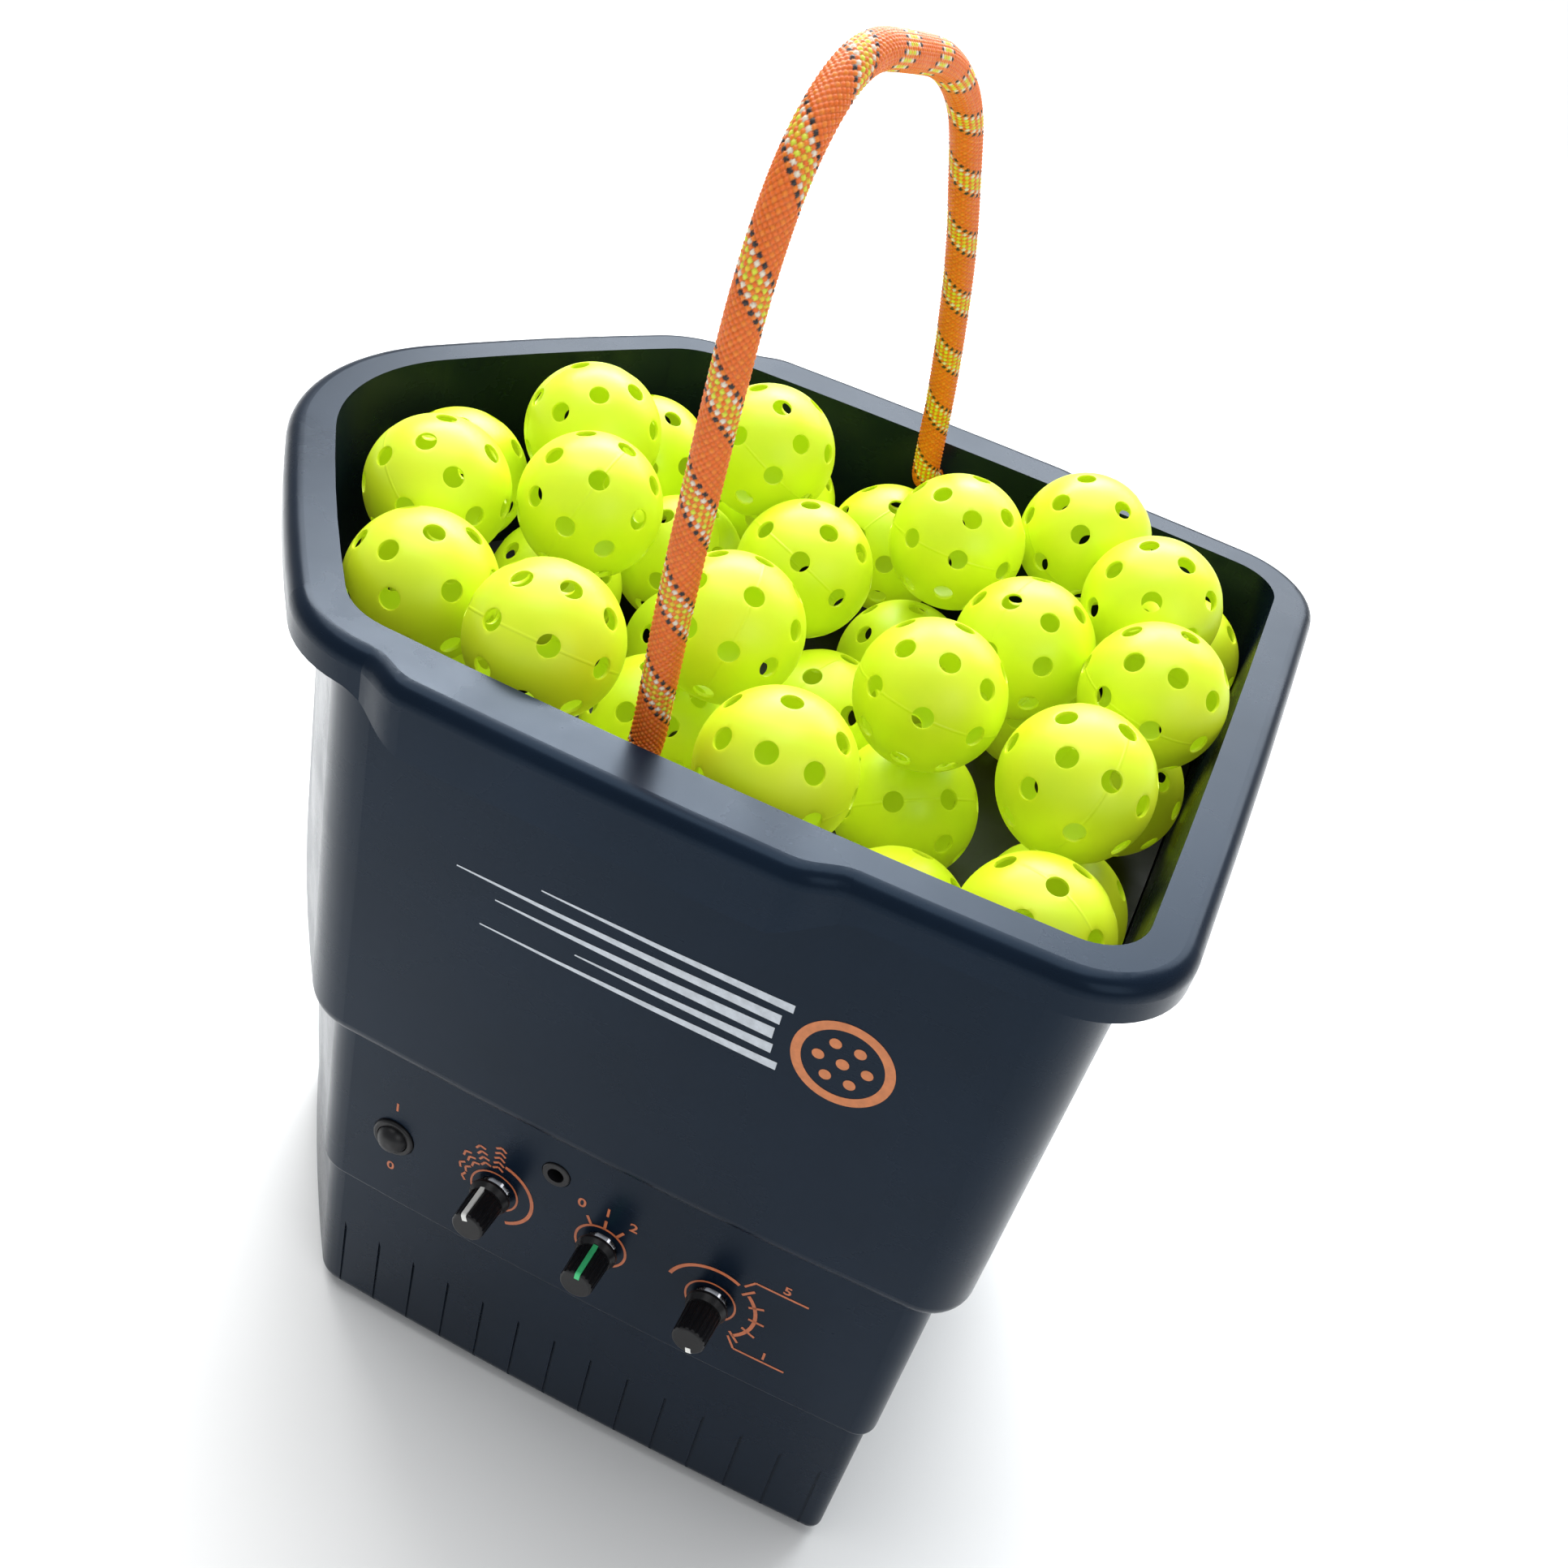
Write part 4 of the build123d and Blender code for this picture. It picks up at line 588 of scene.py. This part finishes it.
class Print:
    """Flat shapes, drawn in millimetres along X and Z, laid on a front wall."""

    def __init__(self, wall):
        self.wall = wall
        self.points = []
        self.faces = []

    def add(self, x, z):
        self.points.append(self.wall(x * MM, z * MM))
        return len(self.points) - 1

    def patch(self, corners, steps_a, steps_b):
        """A four-sided patch through its corners, in order round it."""
        a, b, c, d = corners
        rows = []
        for i in range(steps_a + 1):
            s = i / steps_a
            low = [a[k] + (b[k] - a[k]) * s for k in (0, 1)]
            high = [d[k] + (c[k] - d[k]) * s for k in (0, 1)]
            row = []
            for j in range(steps_b + 1):
                t = j / steps_b
                row.append(self.add(*[low[k] + (high[k] - low[k]) * t for k in (0, 1)]))
            rows.append(row)
        for left, right in zip(rows, rows[1:]):
            for j in range(steps_b):
                self.faces.append((left[j], right[j], right[j + 1], left[j + 1]))

    def bar(self, start, end, width):
        """A straight bar between two places."""
        dx, dz = end[0] - start[0], end[1] - start[1]
        run = hypot(dx, dz)
        nx, nz = -dz / run * width / 2, dx / run * width / 2
        self.patch(
            [
                (start[0] - nx, start[1] - nz),
                (end[0] - nx, end[1] - nz),
                (end[0] + nx, end[1] + nz),
                (start[0] + nx, start[1] + nz),
            ],
            max(2, ceil(run / BAR_STEP)),
            1,
        )

    def arc(self, x, z, radius, width, start, end):
        """An arc about a place, from one angle to another, clockwise from straight up."""
        count = max(6, ceil(abs(end - start) / ARC_STEP))
        angles = [radians(start + (end - start) * i / count) for i in range(count + 1)]
        near, far = radius - width / 2, radius + width / 2
        inner = [self.add(x + near * sin(a), z + near * cos(a)) for a in angles]
        outer = [self.add(x + far * sin(a), z + far * cos(a)) for a in angles]
        for i in range(count):
            self.faces.append((inner[i], outer[i], outer[i + 1], inner[i + 1]))

    def disc(self, x, z, radius):
        angles = [2 * pi * i / DISC_SIDES for i in range(DISC_SIDES)]
        rim = [self.add(x + radius * cos(a), z + radius * sin(a)) for a in angles]
        self.faces.append(tuple(rim))

    def spoke(self, x, z, angle, near, far, width):
        """A bar pointing away from a place."""
        a = radians(angle)
        self.bar((x + near * sin(a), z + near * cos(a)), (x + far * sin(a), z + far * cos(a)), width)

    def arrow_head(self, x, z, angle, distance, size, width):
        """A small V pointing away from a place."""
        a = radians(angle)
        tip = (x + distance * sin(a), z + distance * cos(a))
        for side in (-1, 1):
            b = a + side * radians(ARROW_SPREAD)
            self.bar(tip, (tip[0] + size * sin(b), tip[1] + size * cos(b)), width)

    def digits(self, text, x, z, height):
        """A number, its middle at a place."""
        data = bpy.data.curves.new("digits", "FONT")
        data.body = text
        data.size = height / CAPITAL_HEIGHT
        data.align_x = "CENTER"
        data.offset = height * LETTER_BOLDNESS
        helper = bpy.data.objects.new("digits", data)
        flat = bpy.data.meshes.new_from_object(helper)
        base = len(self.points)
        for vertex in flat.vertices:
            self.add(x + vertex.co.x * LETTER_STRETCH, z - height / 2 + vertex.co.y)
        for polygon in flat.polygons:
            self.faces.append(tuple(base + index for index in polygon.vertices))
        bpy.data.objects.remove(helper)

    def done(self, name, paint, slot):
        """Makes the piece, with its material; the slot is not used."""
        data = mesh_of(name, self.points, self.faces, smooth=False)
        piece = put(name, data)
        data.materials.append(paint.material)
        return piece


panel_wall = front_of("base_housing")
bucket_wall = front_of("hopper_bucket")
orange_ink = ink_material("orange_ink", (0.55, 0.15, 0.055))
silver_foil = ink_material("silver_foil", (0.55, 0.59, 0.64), 0.36, 0.35)
orange_foil = ink_material("orange_foil", (0.62, 0.2, 0.065), 0.4, 0.1)

# Sizes of printing are in millimetres, and angles in degrees clockwise from straight up.
CONTROL_Z = 174
FEED_X, POWER_X, SPEED_X, BUTTON_X = -15, 51, 117, -79.5
KNOB_RING, KNOB_RING_LINE = 14.4, 1.2
SWEEP_LINE = 2.2
DIGIT_HEIGHT = 6


def feeder_legend(legend):
    """A ring, a sweep, and fans of arrow heads that grow from one to five."""
    legend.arc(FEED_X, CONTROL_Z, KNOB_RING, KNOB_RING_LINE, 0, 360)
    sweep, sweep_start, sweep_end = 23.5, 10, 155
    legend.arc(FEED_X, CONTROL_Z, sweep, SWEEP_LINE, sweep_start, sweep_end)
    first_fan, fan_step, fans = -92, 23, 5
    nearest, arrow_pitch, arrow_size, arrow_line = 20.5, 4.0, 3.9, 1.4
    for fan in range(fans):
        angle = first_fan + fan_step * fan
        for row in range(fan + 1):
            distance = nearest + arrow_pitch * row
            legend.arrow_head(FEED_X, CONTROL_Z, angle, distance, arrow_size, arrow_line)


def power_legend(legend):
    """An open ring with a tick and a number at each of three positions."""
    ring, ring_line, gap_angle = 15, 1.5, 150
    tick_end, tick_line, tick_angle = 22, 1.7, 30
    digit_above, digit_aside, digit_height = 29, 31, 6.4
    legend.arc(POWER_X, CONTROL_Z, ring, ring_line, -gap_angle, gap_angle)
    for number, angle in enumerate((-tick_angle, 0, tick_angle)):
        legend.spoke(POWER_X, CONTROL_Z, angle, ring, tick_end, tick_line)
        far = digit_above if angle == 0 else digit_aside
        x = POWER_X + far * sin(radians(angle))
        z = CONTROL_Z + far * cos(radians(angle))
        legend.digits(str(number), x, z, digit_height)


def speed_legend(legend):
    """A ring, a broken sweep with ticks, and a line to the number at each end of the sweep."""
    sweep, tick_start, tick_end, tick_line = 26, 22.5, 31.5, 1.6
    first_tick, tick_step, ticks = 42, 24, 5
    legend.arc(SPEED_X, CONTROL_Z, KNOB_RING, KNOB_RING_LINE, 0, 360)
    for start, end in ((-75, 28), (46, 138)):
        legend.arc(SPEED_X, CONTROL_Z, sweep, SWEEP_LINE, start, end)
    for tick in range(ticks):
        angle = first_tick + tick_step * tick
        legend.spoke(SPEED_X, CONTROL_Z, angle, tick_start, tick_end, tick_line)
    leader_line = 1.4
    leader_foot, leader_start = SPEED_X + 15, SPEED_X + 20
    digit_place, leader_end = SPEED_X + 37, SPEED_X + 50
    digit_rise = 5.5
    for number, rise, lean in ((5, 30.5, 6.5), (1, -29.5, -8.5)):
        z = CONTROL_Z + rise
        legend.bar((leader_start, z), (leader_end, z), leader_line)
        legend.bar((leader_start, z), (leader_foot, z - lean), leader_line)
        legend.digits(str(number), digit_place, z + digit_rise, DIGIT_HEIGHT)


def button_legend(legend):
    """On above the button and off below it."""
    reach = 25
    legend.digits("1", BUTTON_X, CONTROL_Z + reach, DIGIT_HEIGHT)
    legend.digits("0", BUTTON_X, CONTROL_Z - reach, DIGIT_HEIGHT)


panel_print = Print(panel_wall)
feeder_legend(panel_print)
power_legend(panel_print)
speed_legend(panel_print)
button_legend(panel_print)
panel_print.done("panel_legends", orange_ink, "dial_white")

# A plain sporting graphic: a ball in flight with tapering lines behind it.
EMBLEM_Z = 392.5
FLIGHT_X, FLIGHT_RADIUS = 142, 25
FLIGHT_GAP = 9
LINE_TIP = 0.8
# Each line's rise over the ball's middle, where it starts, and its thickness at the ball.
FLIGHT_LINES = ((19, -14, 5), (9.5, -58, 6), (0, -36, 7), (-9.5, 8, 6), (-19, -42, 5))
FLIGHT_STEPS = (16, 2)  # faces along and across a line, which follow the wall
BALL_LINE = 5
BALL_DOT, MIDDLE_DOT, DOT_CIRCLE, DOTS = 3, 3.2, 12, 6

flight_lines = Print(bucket_wall)
for rise, start, thick in FLIGHT_LINES:
    end = FLIGHT_X - sqrt((FLIGHT_RADIUS + FLIGHT_GAP) ** 2 - rise**2)
    middle = EMBLEM_Z + rise
    corners = [
        (start, middle - LINE_TIP / 2),
        (end, middle - thick / 2),
        (end, middle + thick / 2),
        (start, middle + LINE_TIP / 2),
    ]
    flight_lines.patch(corners, *FLIGHT_STEPS)
flight_lines.done("emblem_flight_lines", silver_foil, "navy_plastic")
ball_sign = Print(bucket_wall)
ball_sign.arc(FLIGHT_X, EMBLEM_Z, FLIGHT_RADIUS - BALL_LINE / 2, BALL_LINE, 0, 360)
ball_sign.disc(FLIGHT_X, EMBLEM_Z, MIDDLE_DOT)
for index in range(DOTS):
    turn = 2 * pi * index / DOTS
    ball_sign.disc(FLIGHT_X + DOT_CIRCLE * cos(turn), EMBLEM_Z + DOT_CIRCLE * sin(turn), BALL_DOT)
ball_sign.done("emblem_ball", orange_foil, "navy_plastic")


# ------------------------------------------------------------------ floor and light
FLOOR_REACH = 40
floor_corners = [(x * FLOOR_REACH, y * FLOOR_REACH, 0) for x, y in ((-1, -1), (1, -1), (1, 1), (-1, 1))]
floor_data = mesh_of("floor", floor_corners, [(0, 1, 2, 3)], smooth=False)
floor_piece = put("floor", floor_data, None)
floor_paint = Paint("floor_paint", (0.86, 0.86, 0.85), 0.7)
floor_paint.bump(floor_paint.noise(40, 3), 0.1, 0.3)
floor_data.materials.append(floor_paint.material)

WORLD_COLOUR = (0.93, 0.96, 1.0, 1)
WORLD_STRENGTH = 0.48
world = bpy.data.worlds.new("studio")
scene.world = world
world.use_nodes = True
background = world.node_tree.nodes["Background"]
background.inputs["Color"].default_value = WORLD_COLOUR
background.inputs["Strength"].default_value = WORLD_STRENGTH


def area_light(name, place, target, size, power, colour=(1, 1, 1)):
    """A rectangular lamp at a place, aimed at a target."""
    data = bpy.data.lights.new(name, "AREA")
    data.shape = "RECTANGLE"
    data.size, data.size_y = size
    data.energy = power
    data.color = colour
    lamp = bpy.data.objects.new(name, data)
    lamp.location = place
    lamp.rotation_euler = (Vector(target) - Vector(place)).to_track_quat("-Z", "Y").to_euler()
    scene.collection.objects.link(lamp)


SKY_POWER = 2.5
SKY_WIDTH = radians(60)  # wide, so that the floor stays evenly white
SKY_FROM = Vector((-0.45, 0.55, 2.0))
sun_data = bpy.data.lights.new("sky", "SUN")
sun_data.energy = SKY_POWER
sun_data.angle = SKY_WIDTH
sun = bpy.data.objects.new("sky", sun_data)
sun.rotation_euler = SKY_FROM.to_track_quat("Z", "Y").to_euler()
scene.collection.objects.link(sun)
area_light("fill", (1.9, -1.5, 1.9), (0, 0, 0.35), (1.4, 1.4), 10)
area_light("back", (0.0, 2.6, 2.2), (0, 0, 0.5), (3.6, 1.8), 100, (0.9, 0.95, 1.0))
area_light("rim_strip", (-0.9, 1.6, 2.0), (0, 0, 0.5), (2.4, 0.22), 45)
